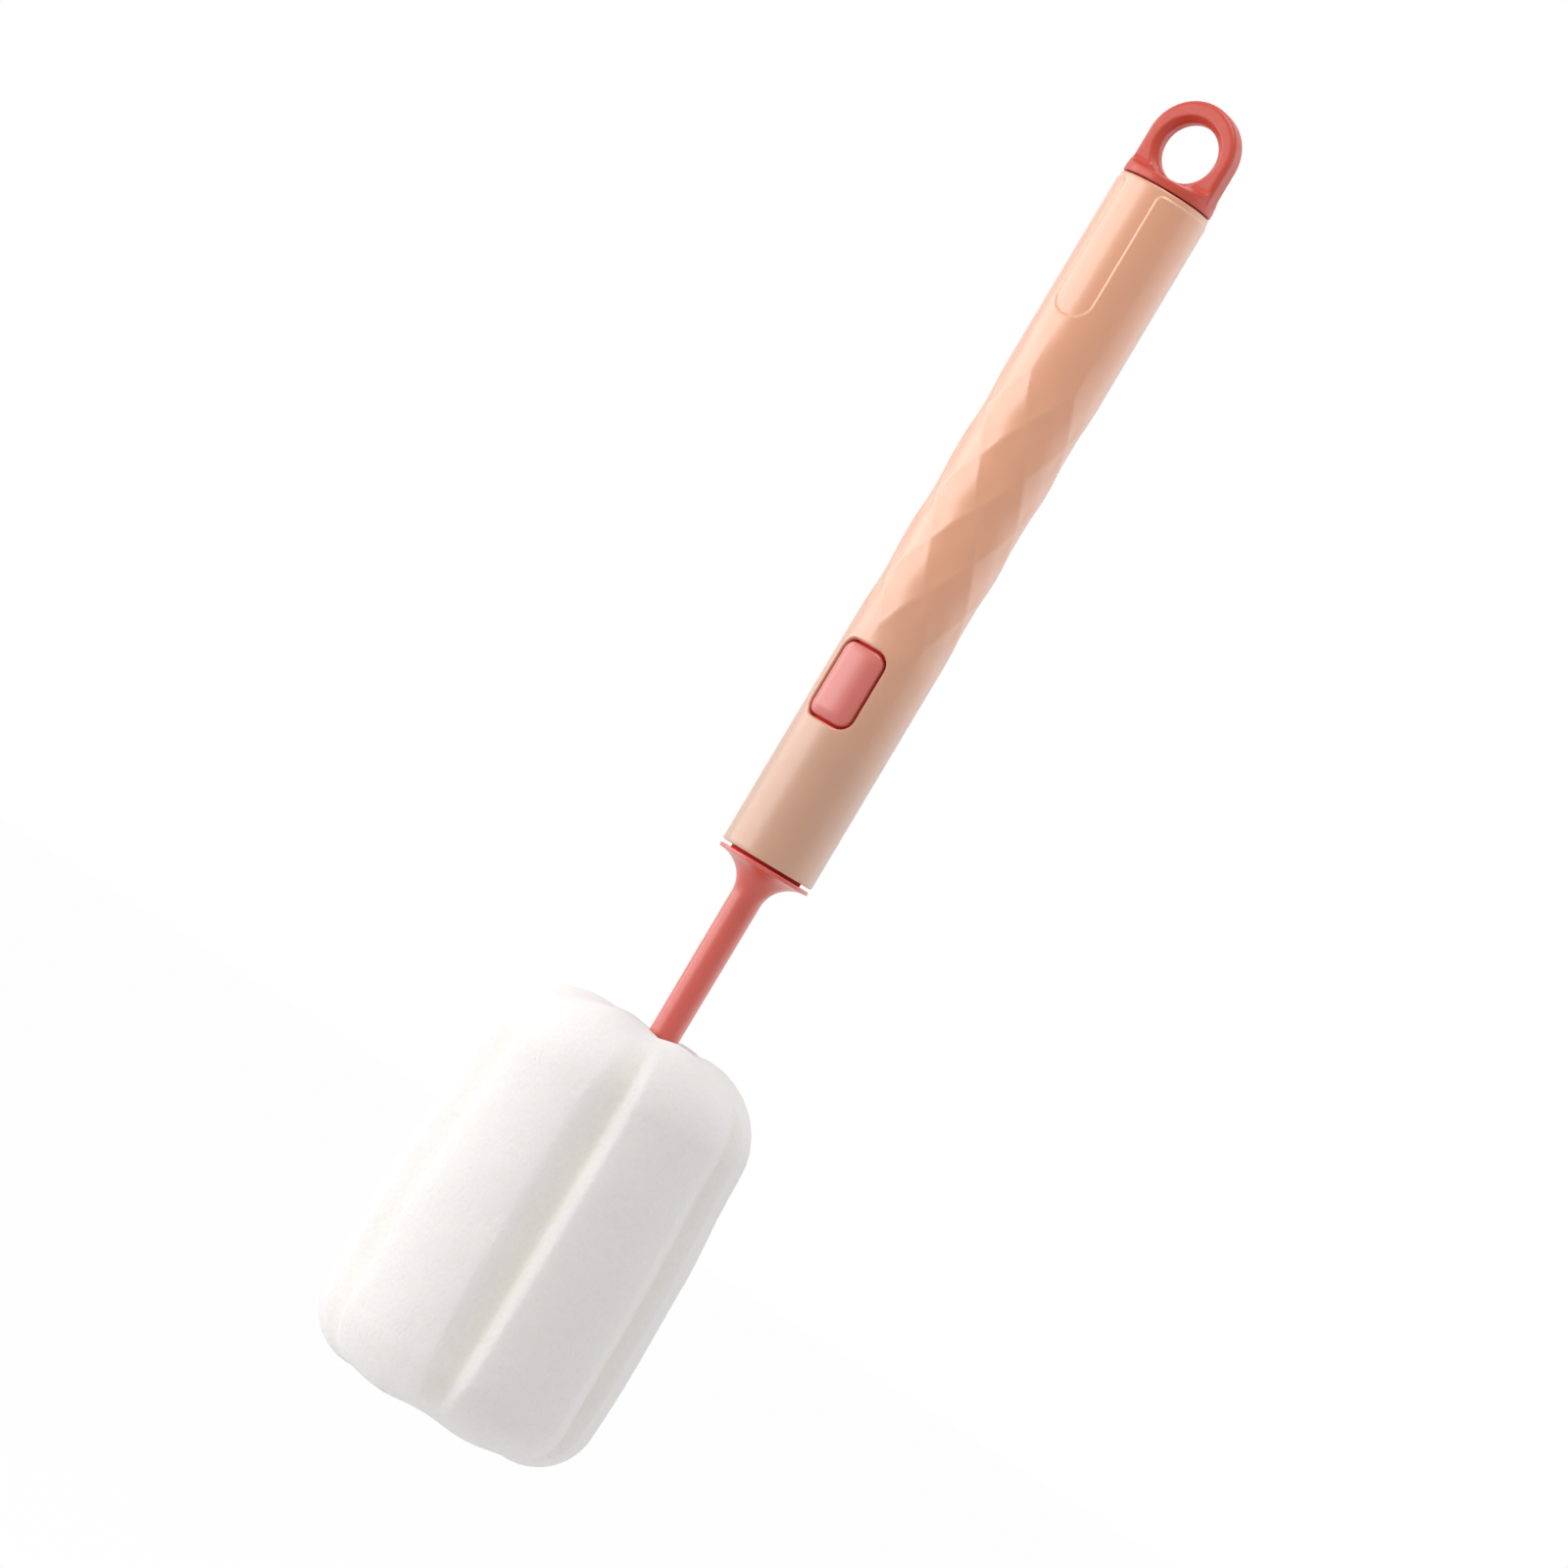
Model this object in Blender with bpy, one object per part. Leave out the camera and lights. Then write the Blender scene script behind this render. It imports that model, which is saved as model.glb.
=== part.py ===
"""Extendable sponge cup brush: a hollow handle with a hang eye, a push-button brake and a sliding head.

World frame: metres, +Z up along the handle, the button and the flat of the eye face -Y, and the origin is
the centre of the hang hole. The brush is modelled retracted, hanging with its sponge down.
"""

from math import atan2, ceil, cos, degrees, pi, radians, sin, sqrt

import bmesh
import bpy
from mathutils import Matrix, Vector

MM = 0.001

# Fits
FIT = 0.3 * MM  # gap between pieces that seat on or in each other
SIDES = 48  # flats round the large turned pieces

# Handle
HANDLE_DIAMETER = 20.2 * MM
HANDLE_LENGTH = 152.8 * MM
HANDLE_WALL = 1.5 * MM
SEAM_BELOW_EYE = 9.2 * MM
END_CHAMFER = 0.3 * MM

# Diamond facets round the grip
FACET_COLUMNS = 6
FACET_ROWS = 3
FACET_HEIGHT = 19.2 * MM
FACET_TOP = 43.7 * MM  # below the seam
FACET_DEPTH = 0.30 * MM
FADE_ABOVE = 11.6 * MM
FADE_BELOW = 5.0 * MM
FACET_STEPS = 4  # mesh rows and columns in half a diamond

# Bare name tab and collar, both sunk into the handle's surface
COLLAR_HEIGHT = 1.6 * MM
TAB_LENGTH = 31.0 * MM
TAB_WIDTH = 8.7 * MM
TAB_CORNER = 4.0 * MM
RECESS_DEPTH = 0.2 * MM

# Hang cap
EYE_WIDTH = 19.6 * MM
EYE_RISE = 0.9 * MM  # of the outer arch over the hole's centre
EYE_HOLE = 12.5 * MM
EYE_THICKNESS = 4.8 * MM
EYE_EDGE = 0.8 * MM
FLANGE_DIAMETER = 19.7 * MM
FLANGE_HEIGHT = 1.9 * MM
BLEND_HEIGHT = 2.2 * MM
CAP_PLUG_LENGTH = 12.0 * MM
CAP_PLUG_WALL = 2.0 * MM

# Push button and its window
WINDOW_WIDTH = 11.2 * MM
WINDOW_HEIGHT = 17.4 * MM
WINDOW_ABOVE_MOUTH = 29.4 * MM
WINDOW_CORNER = 3.0 * MM
BUTTON_GAP = 0.6 * MM
BUTTON_CROWN = 2.4 * MM
BUTTON_SKIRT = 1.8 * MM
BUTTON_TRAVEL = 1.0 * MM
BUTTON_TAB = 1.2 * MM
TRAVEL_SPARE = 0.6 * MM

# Guide sleeve
SLEEVE_WALL = 0.7 * MM
SLEEVE_END = 1.0 * MM  # how far it stays inside the mouth
SLOT_SPARE = 0.5 * MM

# Brake lever, its pin, pad and spring
LATCH_ROOM = 4.4 * MM  # from the handle's bore to the flat of the tube
LEVER_WIDTH = 5.2 * MM
LEVER_THICKNESS = 1.2 * MM
LEVER_TAIL = 16.0 * MM
LEVER_FOOT = 11.5 * MM
PUSH_ARM = 15.0 * MM  # from the pivot to where the button pushes
PIVOT_BELOW_WINDOW = 10.2 * MM
PIN_DIAMETER = 1.4 * MM
HUB_WALL = 0.7 * MM
PAD_LENGTH = 5.0 * MM
PAD_WIDTH = 4.4 * MM
SPRING_WIRE = 0.36 * MM
SPRING_PITCH = 0.5 * MM
SPRING_TURNS = 2
SPRING_LEG = 8.0 * MM

# Extension tube and its tail bush
TUBE_WALL = 1.2 * MM
TRAVEL = 80.0 * MM
BUSH_BELOW_CAP = 2.0 * MM
BUSH_HEAD = 6.0 * MM
BUSH_PLUG = 9.0 * MM
BUSH_WALL = 1.6 * MM
RING_SECTION = 1.4 * MM
RING_GAP = 0.15 * MM

# Neck and stem
MOUTH_GAP = 0.7 * MM
COLLAR_DIAMETER = 15.6 * MM
DISC_DIAMETER = 19.9 * MM
DISC_THICKNESS = 0.8 * MM
FLARE_HEIGHT = 6.4 * MM
STEM_TOP_DIAMETER = 6.5 * MM
STEM_END_DIAMETER = 6.3 * MM
NECK_PLUG = 14.0 * MM
TENON_DIAMETER = 4.2 * MM
TENON_LENGTH = 11.0 * MM

# Sponge core and anchor disc
CORE_COLLAR = 2.6 * MM
CORE_COLLAR_DIAMETER = 6.6 * MM
CORE_LENGTH = 73.5 * MM
BARB_COUNT = 4
BARB_DIAMETER = 10.0 * MM
BARB_HEIGHT = 2.4 * MM
SEAT_DIAMETER = 11.0 * MM
SEAT_HEIGHT = 2.0 * MM
PEG_DIAMETER = 4.0 * MM
PEG_LENGTH = 5.0 * MM
ANCHOR_DIAMETER = 24.0 * MM
ANCHOR_THICKNESS = 1.8 * MM

# Sponge
SPONGE_BELOW_FLARE = 30.8 * MM
STEM_SINK = 1.3 * MM  # from the crown of the lobes down to the stem's end in the dimple
SPONGE_LENGTH = 87.1 * MM
SPONGE_TOP_DIAMETER = 56.0 * MM
SPONGE_DIAMETER = 61.0 * MM
SPONGE_BOTTOM_DIAMETER = 59.0 * MM
SPONGE_WIDEST = 0.64  # of the length, from the top
CROWN_FLAT = 11.2 * MM  # from the axis to where the crown starts to fall
CROWN_HEIGHT = 15.0 * MM
CROWN_STEPS = 5
BASE_CORNER = 11.5 * MM
SIDE_STEPS = 6  # mesh rows down the straight part of the side
LOBES = 6
GROOVE_WIDTH = 10.0 * MM
GROOVE_DEPTH = 5.2 * MM
END_DIP = 1.4 * MM
DIMPLE_DEPTH = 1.6 * MM

# Places that follow from the sizes above
HANDLE_R = HANDLE_DIAMETER / 2
BORE_R = HANDLE_R - HANDLE_WALL
SEAM_Z = -SEAM_BELOW_EYE
HANDLE_TOP = SEAM_Z - FIT
MOUTH_Z = SEAM_Z - HANDLE_LENGTH
WINDOW_LOW = MOUTH_Z + WINDOW_ABOVE_MOUTH
WINDOW_HIGH = WINDOW_LOW + WINDOW_HEIGHT
WINDOW_Z = (WINDOW_LOW + WINDOW_HIGH) / 2
SLEEVE_R = BORE_R - FIT
SLEEVE_BORE_R = SLEEVE_R - SLEEVE_WALL
TUBE_R = SLEEVE_BORE_R - FIT
TUBE_FLAT = BORE_R - LATCH_ROOM
SLEEVE_FLAT = TUBE_FLAT + FIT
PIN_R = PIN_DIAMETER / 2
HUB_R = PIN_R + FIT + HUB_WALL
PIN_Y = -(TUBE_FLAT + FIT + HUB_R)
PIN_HALF = sqrt(SLEEVE_R**2 - (PIN_R - PIN_Y) ** 2) - FIT
PIVOT_Z = WINDOW_LOW - PIVOT_BELOW_WINDOW
SKIRT_Y = -(TUBE_FLAT + BUTTON_TRAVEL + TRAVEL_SPARE)
BUSH_TOP = SEAM_Z - CAP_PLUG_LENGTH - BUSH_BELOW_CAP
BUSH_STOP = BUSH_TOP - BUSH_HEAD
SLEEVE_TOP = BUSH_STOP - TRAVEL - FIT
SLEEVE_LOW = MOUTH_Z + SLEEVE_END
DISC_TOP = MOUTH_Z - MOUTH_GAP
NECK_TOP = SLEEVE_LOW - 2 * FIT
FLARE_TOP = DISC_TOP - DISC_THICKNESS
FLARE_END = FLARE_TOP - FLARE_HEIGHT
SPONGE_TOP = FLARE_END - SPONGE_BELOW_FLARE
SPONGE_LOW = SPONGE_TOP - SPONGE_LENGTH
STEM_END = SPONGE_TOP - STEM_SINK
CORE_TOP = STEM_END - FIT
CORE_END = CORE_TOP - CORE_LENGTH


def clear_scene():
    for obj in list(bpy.data.objects):
        bpy.data.objects.remove(obj, do_unlink=True)


def finish(name, colour, roughness, metallic=0.0):
    """A material for one sub-part, from its colour as linear red, green and blue."""
    mat = bpy.data.materials.new(name)
    mat.use_nodes = True
    shader = mat.node_tree.nodes["Principled BSDF"]
    shader.inputs["Base Color"].default_value = (*colour, 1.0)
    shader.inputs["Roughness"].default_value = roughness
    shader.inputs["Metallic"].default_value = metallic
    return mat


def object_from(name, bm, mat=None):
    """Links a mesh object made from bm, with outward faces and smooth round sides."""
    bmesh.ops.recalc_face_normals(bm, faces=bm.faces)
    mesh = bpy.data.meshes.new(name)
    bm.to_mesh(mesh)
    bm.free()
    mesh.shade_smooth()
    mesh.set_sharp_from_angle(angle=radians(30))
    obj = bpy.data.objects.new(name, mesh)
    bpy.context.scene.collection.objects.link(obj)
    if mat:
        mesh.materials.append(mat)
    return obj


def helper(obj):
    """Marks a cutter or a shape to be joined, so that it isn't a piece."""
    obj.hide_render = True
    obj.display_type = "WIRE"
    return obj


def combine(obj, other, operation):
    step = obj.modifiers.new(f"{operation.lower()} {other.name}", "BOOLEAN")
    step.operation = operation
    step.solver = "EXACT"
    step.object = helper(other)
    return obj


def turned(name, profile, mat=None, sides=SIDES):
    """A solid turned about Z from a closed profile of (radius, z) points."""
    bm = bmesh.new()
    loop = [bm.verts.new((r, 0.0, z)) for r, z in profile]
    edges = [bm.edges.new((a, b)) for a, b in zip(loop, loop[1:] + loop[:1])]
    on_axis = [e for e in edges if all(abs(v.co.x) < 1e-9 for v in e.verts)]
    bmesh.ops.spin(
        bm,
        geom=loop + [e for e in edges if e not in on_axis],
        cent=(0, 0, 0),
        axis=(0, 0, 1),
        angle=2 * pi,
        steps=sides,
        use_merge=True,
        use_duplicate=False,
    )
    loose = [e for e in bm.edges if not e.link_faces]
    bmesh.ops.delete(bm, geom=loose, context="EDGES")
    bmesh.ops.remove_doubles(bm, verts=bm.verts, dist=1e-7)
    return object_from(name, bm, mat)


def prism(name, outline, low, high, mat=None, axis="Z"):
    """An outline extruded along an axis: (x, y) points for Z, (x, z) for Y and (y, z) for X."""
    places = {
        "Z": lambda a, b: (a, b, low),
        "Y": lambda a, b: (a, low, b),
        "X": lambda a, b: (low, a, b),
    }
    along = {"Z": (0, 0, 1), "Y": (0, 1, 0), "X": (1, 0, 0)}
    bm = bmesh.new()
    face = bm.faces.new([bm.verts.new(places[axis](a, b)) for a, b in outline])
    grown = bmesh.ops.extrude_face_region(bm, geom=[face])["geom"]
    ends = [g for g in grown if isinstance(g, bmesh.types.BMVert)]
    bmesh.ops.translate(bm, verts=ends, vec=Vector(along[axis]) * (high - low))
    return object_from(name, bm, mat)


def block(name, x, y, z, mat=None):
    """A box from three (low, high) pairs."""
    outline = [(x[0], y[0]), (x[1], y[0]), (x[1], y[1]), (x[0], y[1])]
    return prism(name, outline, z[0], z[1], mat)


def arc(centre, radius, start, end, steps):
    """Points of an arc between two angles in degrees, ends included."""
    turns = [radians(start + (end - start) * i / steps) for i in range(steps + 1)]
    return [(centre[0] + radius * cos(t), centre[1] + radius * sin(t)) for t in turns]


def round_box(half_width, low, high, radius, steps=5):
    """An upright rectangle with round corners, as (x, z) points."""
    x, r = half_width - radius, radius
    return (
        arc((x, high - r), r, 0, 90, steps)
        + arc((-x, high - r), r, 90, 180, steps)
        + arc((-x, low + r), r, 180, 270, steps)
        + arc((x, low + r), r, 270, 360, steps)
    )


def d_outline(radius, flat, steps=40):
    """A circle with its front cut to a flat at y = -flat, as (x, y) points."""
    below = degrees(atan2(flat, sqrt(radius**2 - flat**2)))
    return arc((0, 0), radius, -below, 180 + below, steps)


def cylinder(name, radius, low, high, mat=None, sides=SIDES):
    return turned(name, [(0, high), (radius, high), (radius, low), (0, low)], mat, sides)


def seat(obj, origin):
    """Moves an object's origin to a point on its joint's axis and leaves its shape in place."""
    shift = Vector(origin) - obj.location
    obj.data.transform(Matrix.Translation(-shift))
    obj.location = Vector(origin)
    return obj


def facet_sink(turn, z):
    """How far the faceted surface lies below the round handle at a height and an angle from the front."""
    half_turn = pi / FACET_COLUMNS
    half_high = FACET_HEIGHT / 2
    down = (SEAM_Z - FACET_TOP - z) / half_high  # 0 at the top points, 2 a row
    fade = 1.0
    if down < 0:
        fade = max(0.0, 1 + down * half_high / FADE_ABOVE)
    elif down > 2 * FACET_ROWS:
        fade = max(0.0, 1 - (down - 2 * FACET_ROWS) * half_high / FADE_BELOW)
    down = min(max(down, 0.0), 2.0 * FACET_ROWS)
    across = turn / half_turn
    best = None
    for odd in (0, 1):
        u = (across - odd + 1) % 2 - 1
        v = (down - 1 - odd + 1) % 2 - 1
        if abs(u) + abs(v) <= 1 + 1e-6:
            best = abs(u) + abs(v)
    return FACET_DEPTH * fade * (1 - best**2)


def handle_rows():
    """Heights of the handle's mesh rows between its end chamfers, top to bottom."""
    top = SEAM_Z - FACET_TOP
    low = top - FACET_ROWS * FACET_HEIGHT
    step = FACET_HEIGHT / 2 / FACET_STEPS
    above = ceil(FADE_ABOVE / step)
    below = max(2, ceil(FADE_BELOW / step))
    rows = [top + FADE_ABOVE * (above - i) / above for i in range(above)]
    rows += [top - step * i for i in range(2 * FACET_STEPS * FACET_ROWS + 1)]
    rows += [low - FADE_BELOW * (i + 1) / below for i in range(below)]
    return rows


def handle_tube(mat):
    """The faceted grip tube: a sunk collar and tab at its top, the button's window near its mouth."""
    columns = 2 * FACET_COLUMNS * FACET_STEPS
    collar_r = HANDLE_R - RECESS_DEPTH
    rings = [(BORE_R, HANDLE_TOP), (collar_r - END_CHAMFER, HANDLE_TOP)]
    rings += [(collar_r, HANDLE_TOP - END_CHAMFER), (collar_r, SEAM_Z - COLLAR_HEIGHT)]
    rings += [(HANDLE_R, SEAM_Z - COLLAR_HEIGHT - RECESS_DEPTH)]
    first = len(rings)
    rings += [(HANDLE_R, z) for z in handle_rows()]
    last = len(rings)
    rings += [(HANDLE_R, MOUTH_Z + END_CHAMFER), (HANDLE_R - END_CHAMFER, MOUTH_Z)]
    rings += [(BORE_R, MOUTH_Z)]

    bm = bmesh.new()
    grid = []
    for j, (radius, z) in enumerate(rings):
        ring = []
        for i in range(columns):
            turn = 2 * pi * i / columns
            r = radius - facet_sink(turn, z) if first <= j < last else radius
            ring.append(bm.verts.new((r * sin(turn), -r * cos(turn), z)))
        grid.append(ring)
    faceted_from = first + ceil(FADE_ABOVE / (FACET_HEIGHT / 2 / FACET_STEPS))
    for j in range(len(rings)):
        upper, lower = grid[j], grid[(j + 1) % len(rings)]
        for i in range(columns):
            k = (i + 1) % columns
            a, b, c, d = upper[i], upper[k], lower[k], lower[i]
            row = j - faceted_from
            if not first <= j < last - 1:
                bm.faces.new((a, b, c, d))
            elif (i - row) % (2 * FACET_STEPS) == 0:
                bm.faces.new((a, b, c))
                bm.faces.new((a, c, d))
            elif (i + row + 1) % (2 * FACET_STEPS) == 0:
                bm.faces.new((a, b, d))
                bm.faces.new((b, c, d))
            elif (i // FACET_STEPS + row // FACET_STEPS) % 2:
                bm.faces.new((a, b, c))
                bm.faces.new((a, c, d))
            else:
                bm.faces.new((a, b, d))
                bm.faces.new((b, c, d))
    tube = object_from("handle_tube", bm, mat)

    opening = round_box(WINDOW_WIDTH / 2, WINDOW_LOW, WINDOW_HIGH, WINDOW_CORNER)
    combine(tube, prism("window_cutter", opening, -1.2 * HANDLE_R, -BORE_R / 2, axis="Y"), "DIFFERENCE")

    tab = round_box(TAB_WIDTH / 2, SEAM_Z - TAB_LENGTH, HANDLE_TOP + COLLAR_HEIGHT, TAB_CORNER)
    tab_cutter = prism("tab_cutter", tab, -1.2 * HANDLE_R, -BORE_R, axis="Y")
    core = cylinder("tab_floor", HANDLE_R - RECESS_DEPTH, SEAM_Z - 2 * TAB_LENGTH, 2 * COLLAR_HEIGHT)
    combine(tab_cutter, core, "DIFFERENCE")
    return combine(tube, tab_cutter, "DIFFERENCE")


def hang_cap(mat):
    """The end cap: a hollow plug, a round flange and the flat eye that blends up out of it."""
    half = EYE_THICKNESS / 2
    plug_r = BORE_R - FIT
    low = SEAM_Z - CAP_PLUG_LENGTH
    flange_r = FLANGE_DIAMETER / 2
    flange_top = SEAM_Z + FLANGE_HEIGHT
    bore = plug_r - CAP_PLUG_WALL
    cap = turned(
        "hang_cap",
        [
            (0, flange_top),
            (flange_r, flange_top),
            (flange_r, SEAM_Z),
            (plug_r, SEAM_Z),
            (plug_r, low),
            (bore, low),
            (bore, SEAM_Z - CAP_PLUG_WALL),
            (0, SEAM_Z - CAP_PLUG_WALL),
        ],
        mat,
    )

    eye_r = EYE_WIDTH / 2
    outline = arc((0, EYE_RISE), eye_r, 0, 180, 24)
    outline += [(-eye_r, flange_top - EYE_EDGE), (eye_r, flange_top - EYE_EDGE)]
    plate = prism("eye_plate", outline, -half, half, axis="Y")
    edge = plate.modifiers.new("edge", "BEVEL")
    edge.width = EYE_EDGE
    edge.segments = 2
    edge.limit_method = "ANGLE"
    edge.angle_limit = radians(60)

    run = flange_r - half
    curve = [(1 - cos(t), sin(t)) for t in (pi / 2 * i / 6 for i in range(7))]
    side = [(half + run * a, flange_top + BLEND_HEIGHT * (1 - b)) for a, b in curve]
    sink = flange_top - EYE_EDGE
    web = side + [(flange_r, sink), (-flange_r, sink)] + [(-y, z) for y, z in side[::-1]]
    blend = prism("eye_blend", web, -eye_r, eye_r, axis="X")
    blend_round = cylinder("blend_round", flange_r - FIT / 2, SEAM_Z, flange_top + 2 * BLEND_HEIGHT)
    combine(blend, blend_round, "INTERSECT")

    hole_r = EYE_HOLE / 2
    outer = half + EYE_EDGE
    throat = [(0, outer), (hole_r + 2 * EYE_EDGE, outer)]
    throat += [(hole_r + EYE_EDGE, half), (hole_r + EYE_EDGE * 0.3, half - EYE_EDGE * 0.7)]
    throat += [(hole_r, half - 1.6 * EYE_EDGE)]
    throat += [(r, -z) for r, z in throat[::-1]]
    hole = turned("eye_hole", throat, sides=32)
    hole.data.transform(Matrix.Rotation(pi / 2, 4, "X"))

    combine(cap, plate, "UNION")
    combine(cap, blend, "UNION")
    return combine(cap, hole, "DIFFERENCE")


def guide_sleeve(mat):
    """The liner in the handle's mouth: it guides the tube on its flat and carries the brake lever."""
    sleeve = cylinder("guide_sleeve", SLEEVE_R, SLEEVE_LOW, SLEEVE_TOP, mat)
    over = HANDLE_WALL
    bore = prism("sleeve_bore", d_outline(SLEEVE_BORE_R, SLEEVE_FLAT), SLEEVE_LOW - over, SLEEVE_TOP + over)
    front = (-2 * SLEEVE_R, -SLEEVE_FLAT / 2)
    wide = WINDOW_WIDTH / 2 + FIT
    reach = BUTTON_TAB + FIT
    window = block("sleeve_window", (-wide, wide), front, (WINDOW_LOW - reach, WINDOW_HIGH + reach))
    narrow = LEVER_WIDTH / 2 + FIT
    slot_low = PIVOT_Z - LEVER_FOOT - SLOT_SPARE
    slot = block("lever_slot", (-narrow, narrow), front, (slot_low, WINDOW_Z))
    rest = (PIVOT_Z - PIN_R - FIT, PIVOT_Z + PIN_R + FIT)
    long = PIN_HALF + FIT
    notch = block("pin_notch", (-long, long), (-2 * SLEEVE_R, PIN_Y + PIN_R + FIT), rest)
    for cutter in (bore, window, slot, notch):
        combine(sleeve, cutter, "DIFFERENCE")
    return sleeve


def push_button(mat):
    """The button: a crowned plate flush with the handle, two skirts, and end tabs behind the wall."""
    half = WINDOW_WIDTH / 2 - BUTTON_GAP
    low, high = WINDOW_LOW + BUTTON_GAP, WINDOW_HIGH - BUTTON_GAP
    outline = round_box(half, low, high, WINDOW_CORNER - BUTTON_GAP)
    button = prism("push_button", outline, -1.2 * HANDLE_R, SKIRT_Y, mat, axis="Y")
    over = WINDOW_HEIGHT
    combine(button, cylinder("button_crown", HANDLE_R, low - over, high + over), "INTERSECT")

    ends = (WINDOW_LOW - BUTTON_TAB, WINDOW_HIGH + BUTTON_TAB)
    tabs = block("button_tabs", (-half + FIT, half - FIT), (-HANDLE_R, SKIRT_Y + FIT / 10), ends)
    combine(tabs, cylinder("tab_round", BORE_R - FIT, low - over, high + over), "INTERSECT")
    combine(button, tabs, "UNION")

    inner = half - BUTTON_SKIRT
    channel = block(
        "button_channel", (-inner, inner), (-(HANDLE_R - BUTTON_CROWN), 0), (low - over, high + over)
    )
    combine(button, channel, "DIFFERENCE")
    return seat(button, (0, -HANDLE_R, WINDOW_Z))


def brake_lever(mat):
    """The rocker behind the button: a tail that it pushes, a hub on the pin and a foot for the pad."""
    half = LEVER_WIDTH / 2
    thick = LEVER_THICKNESS / 2
    under_button = -(HANDLE_R - BUTTON_CROWN) + FIT
    top = PIVOT_Z + LEVER_TAIL
    nub = PIVOT_Z + PUSH_ARM - LEVER_THICKNESS
    side = [
        (PIN_Y + thick, top),
        (under_button, top),
        (under_button, nub),
        (PIN_Y - thick, nub - LEVER_THICKNESS),
        (PIN_Y - thick, PIVOT_Z - LEVER_FOOT),
        (PIN_Y + thick, PIVOT_Z - LEVER_FOOT),
    ]
    lever = prism("brake_lever", side, -half, half, mat, axis="X")
    open_side = half - SPRING_PITCH * (SPRING_TURNS + 1.4)
    notch_low = PIVOT_Z - 2 * HUB_R - FIT
    notch = block(
        "spring_notch", (open_side, 2 * half), (-HANDLE_R, 0), (notch_low, PIVOT_Z + HUB_R + FIT)
    )
    combine(lever, notch, "DIFFERENCE")
    hub = prism("lever_hub", arc((PIN_Y, PIVOT_Z), HUB_R, 0, 345, 23), -half, open_side, axis="X")
    combine(lever, hub, "UNION")
    bore = arc((PIN_Y, PIVOT_Z), PIN_R + FIT, 0, 340, 17)
    hole = prism("lever_hole", bore, -2 * half, 2 * half, axis="X")
    combine(lever, hole, "DIFFERENCE")
    return seat(lever, (0, PIN_Y, PIVOT_Z))


def brake_pad(mat):
    """The rubber shoe on the lever's foot, which grips the flat of the tube."""
    outer = PIN_Y + LEVER_THICKNESS / 2 + FIT
    half = PAD_WIDTH / 2
    low = PIVOT_Z - LEVER_FOOT + FIT
    pad = block("brake_pad", (-half, half), (outer, -TUBE_FLAT - FIT), (low, low + PAD_LENGTH), mat)
    return seat(pad, (0, PIN_Y, PIVOT_Z))


def lever_pin(mat):
    """The cross pin that the lever rocks on, resting in the sleeve's two notches."""
    outline = arc((PIN_Y, PIVOT_Z), PIN_R, 0, 337.5, 15)
    return prism("lever_pin", outline, -PIN_HALF, PIN_HALF, mat, axis="X")


def lever_spring(mat):
    """A wire torsion spring on the pin, between the lever's tail and the handle's bore."""
    wire = SPRING_WIRE / 2
    coil_r = PIN_R + FIT + wire
    x0 = LEVER_WIDTH / 2 - SPRING_PITCH * (SPRING_TURNS + 0.7)
    start, per_turn = -pi / 4, 12
    turns = SPRING_TURNS - start / (2 * pi)
    steps = round(turns * per_turn)
    coil = []
    for i in range(steps + 1):
        t = start + 2 * pi * turns * i / steps
        x = x0 + SPRING_PITCH * turns * i / steps
        coil.append((x, PIN_Y + coil_r * cos(t), PIVOT_Z + coil_r * sin(t)))
    first, last = coil[0], coil[-1]
    wall_y = -sqrt(BORE_R**2 - x0**2) + FIT + wire
    fall = first[1] - wall_y
    foot = (x0, wall_y, first[2] - fall)
    lean = PIN_Y + LEVER_THICKNESS / 2 + FIT + wire
    head = (last[0], lean, PIVOT_Z + SPRING_LEG)
    points = [foot] + coil + [head]

    curve = bpy.data.curves.new("lever_spring", "CURVE")
    curve.dimensions = "3D"
    line = curve.splines.new("POLY")
    line.points.add(len(points) - 1)
    for point, place in zip(line.points, points):
        point.co = (*place, 1.0)
    curve.bevel_depth = wire
    curve.bevel_resolution = 1
    curve.use_fill_caps = True
    curve.materials.append(mat)
    spring = bpy.data.objects.new("lever_spring", curve)
    bpy.context.scene.collection.objects.link(spring)
    return spring


def extension_tube(mat):
    """The D-shaped tube that slides in the sleeve, open at both ends."""
    low, high = NECK_TOP + FIT, BUSH_STOP - FIT
    tube = prism("extension_tube", d_outline(TUBE_R, TUBE_FLAT), low, high, mat)
    inner = d_outline(TUBE_R - TUBE_WALL, TUBE_FLAT - TUBE_WALL)
    return combine(tube, prism("tube_bore", inner, low - TUBE_R, high + TUBE_R), "DIFFERENCE")


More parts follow.
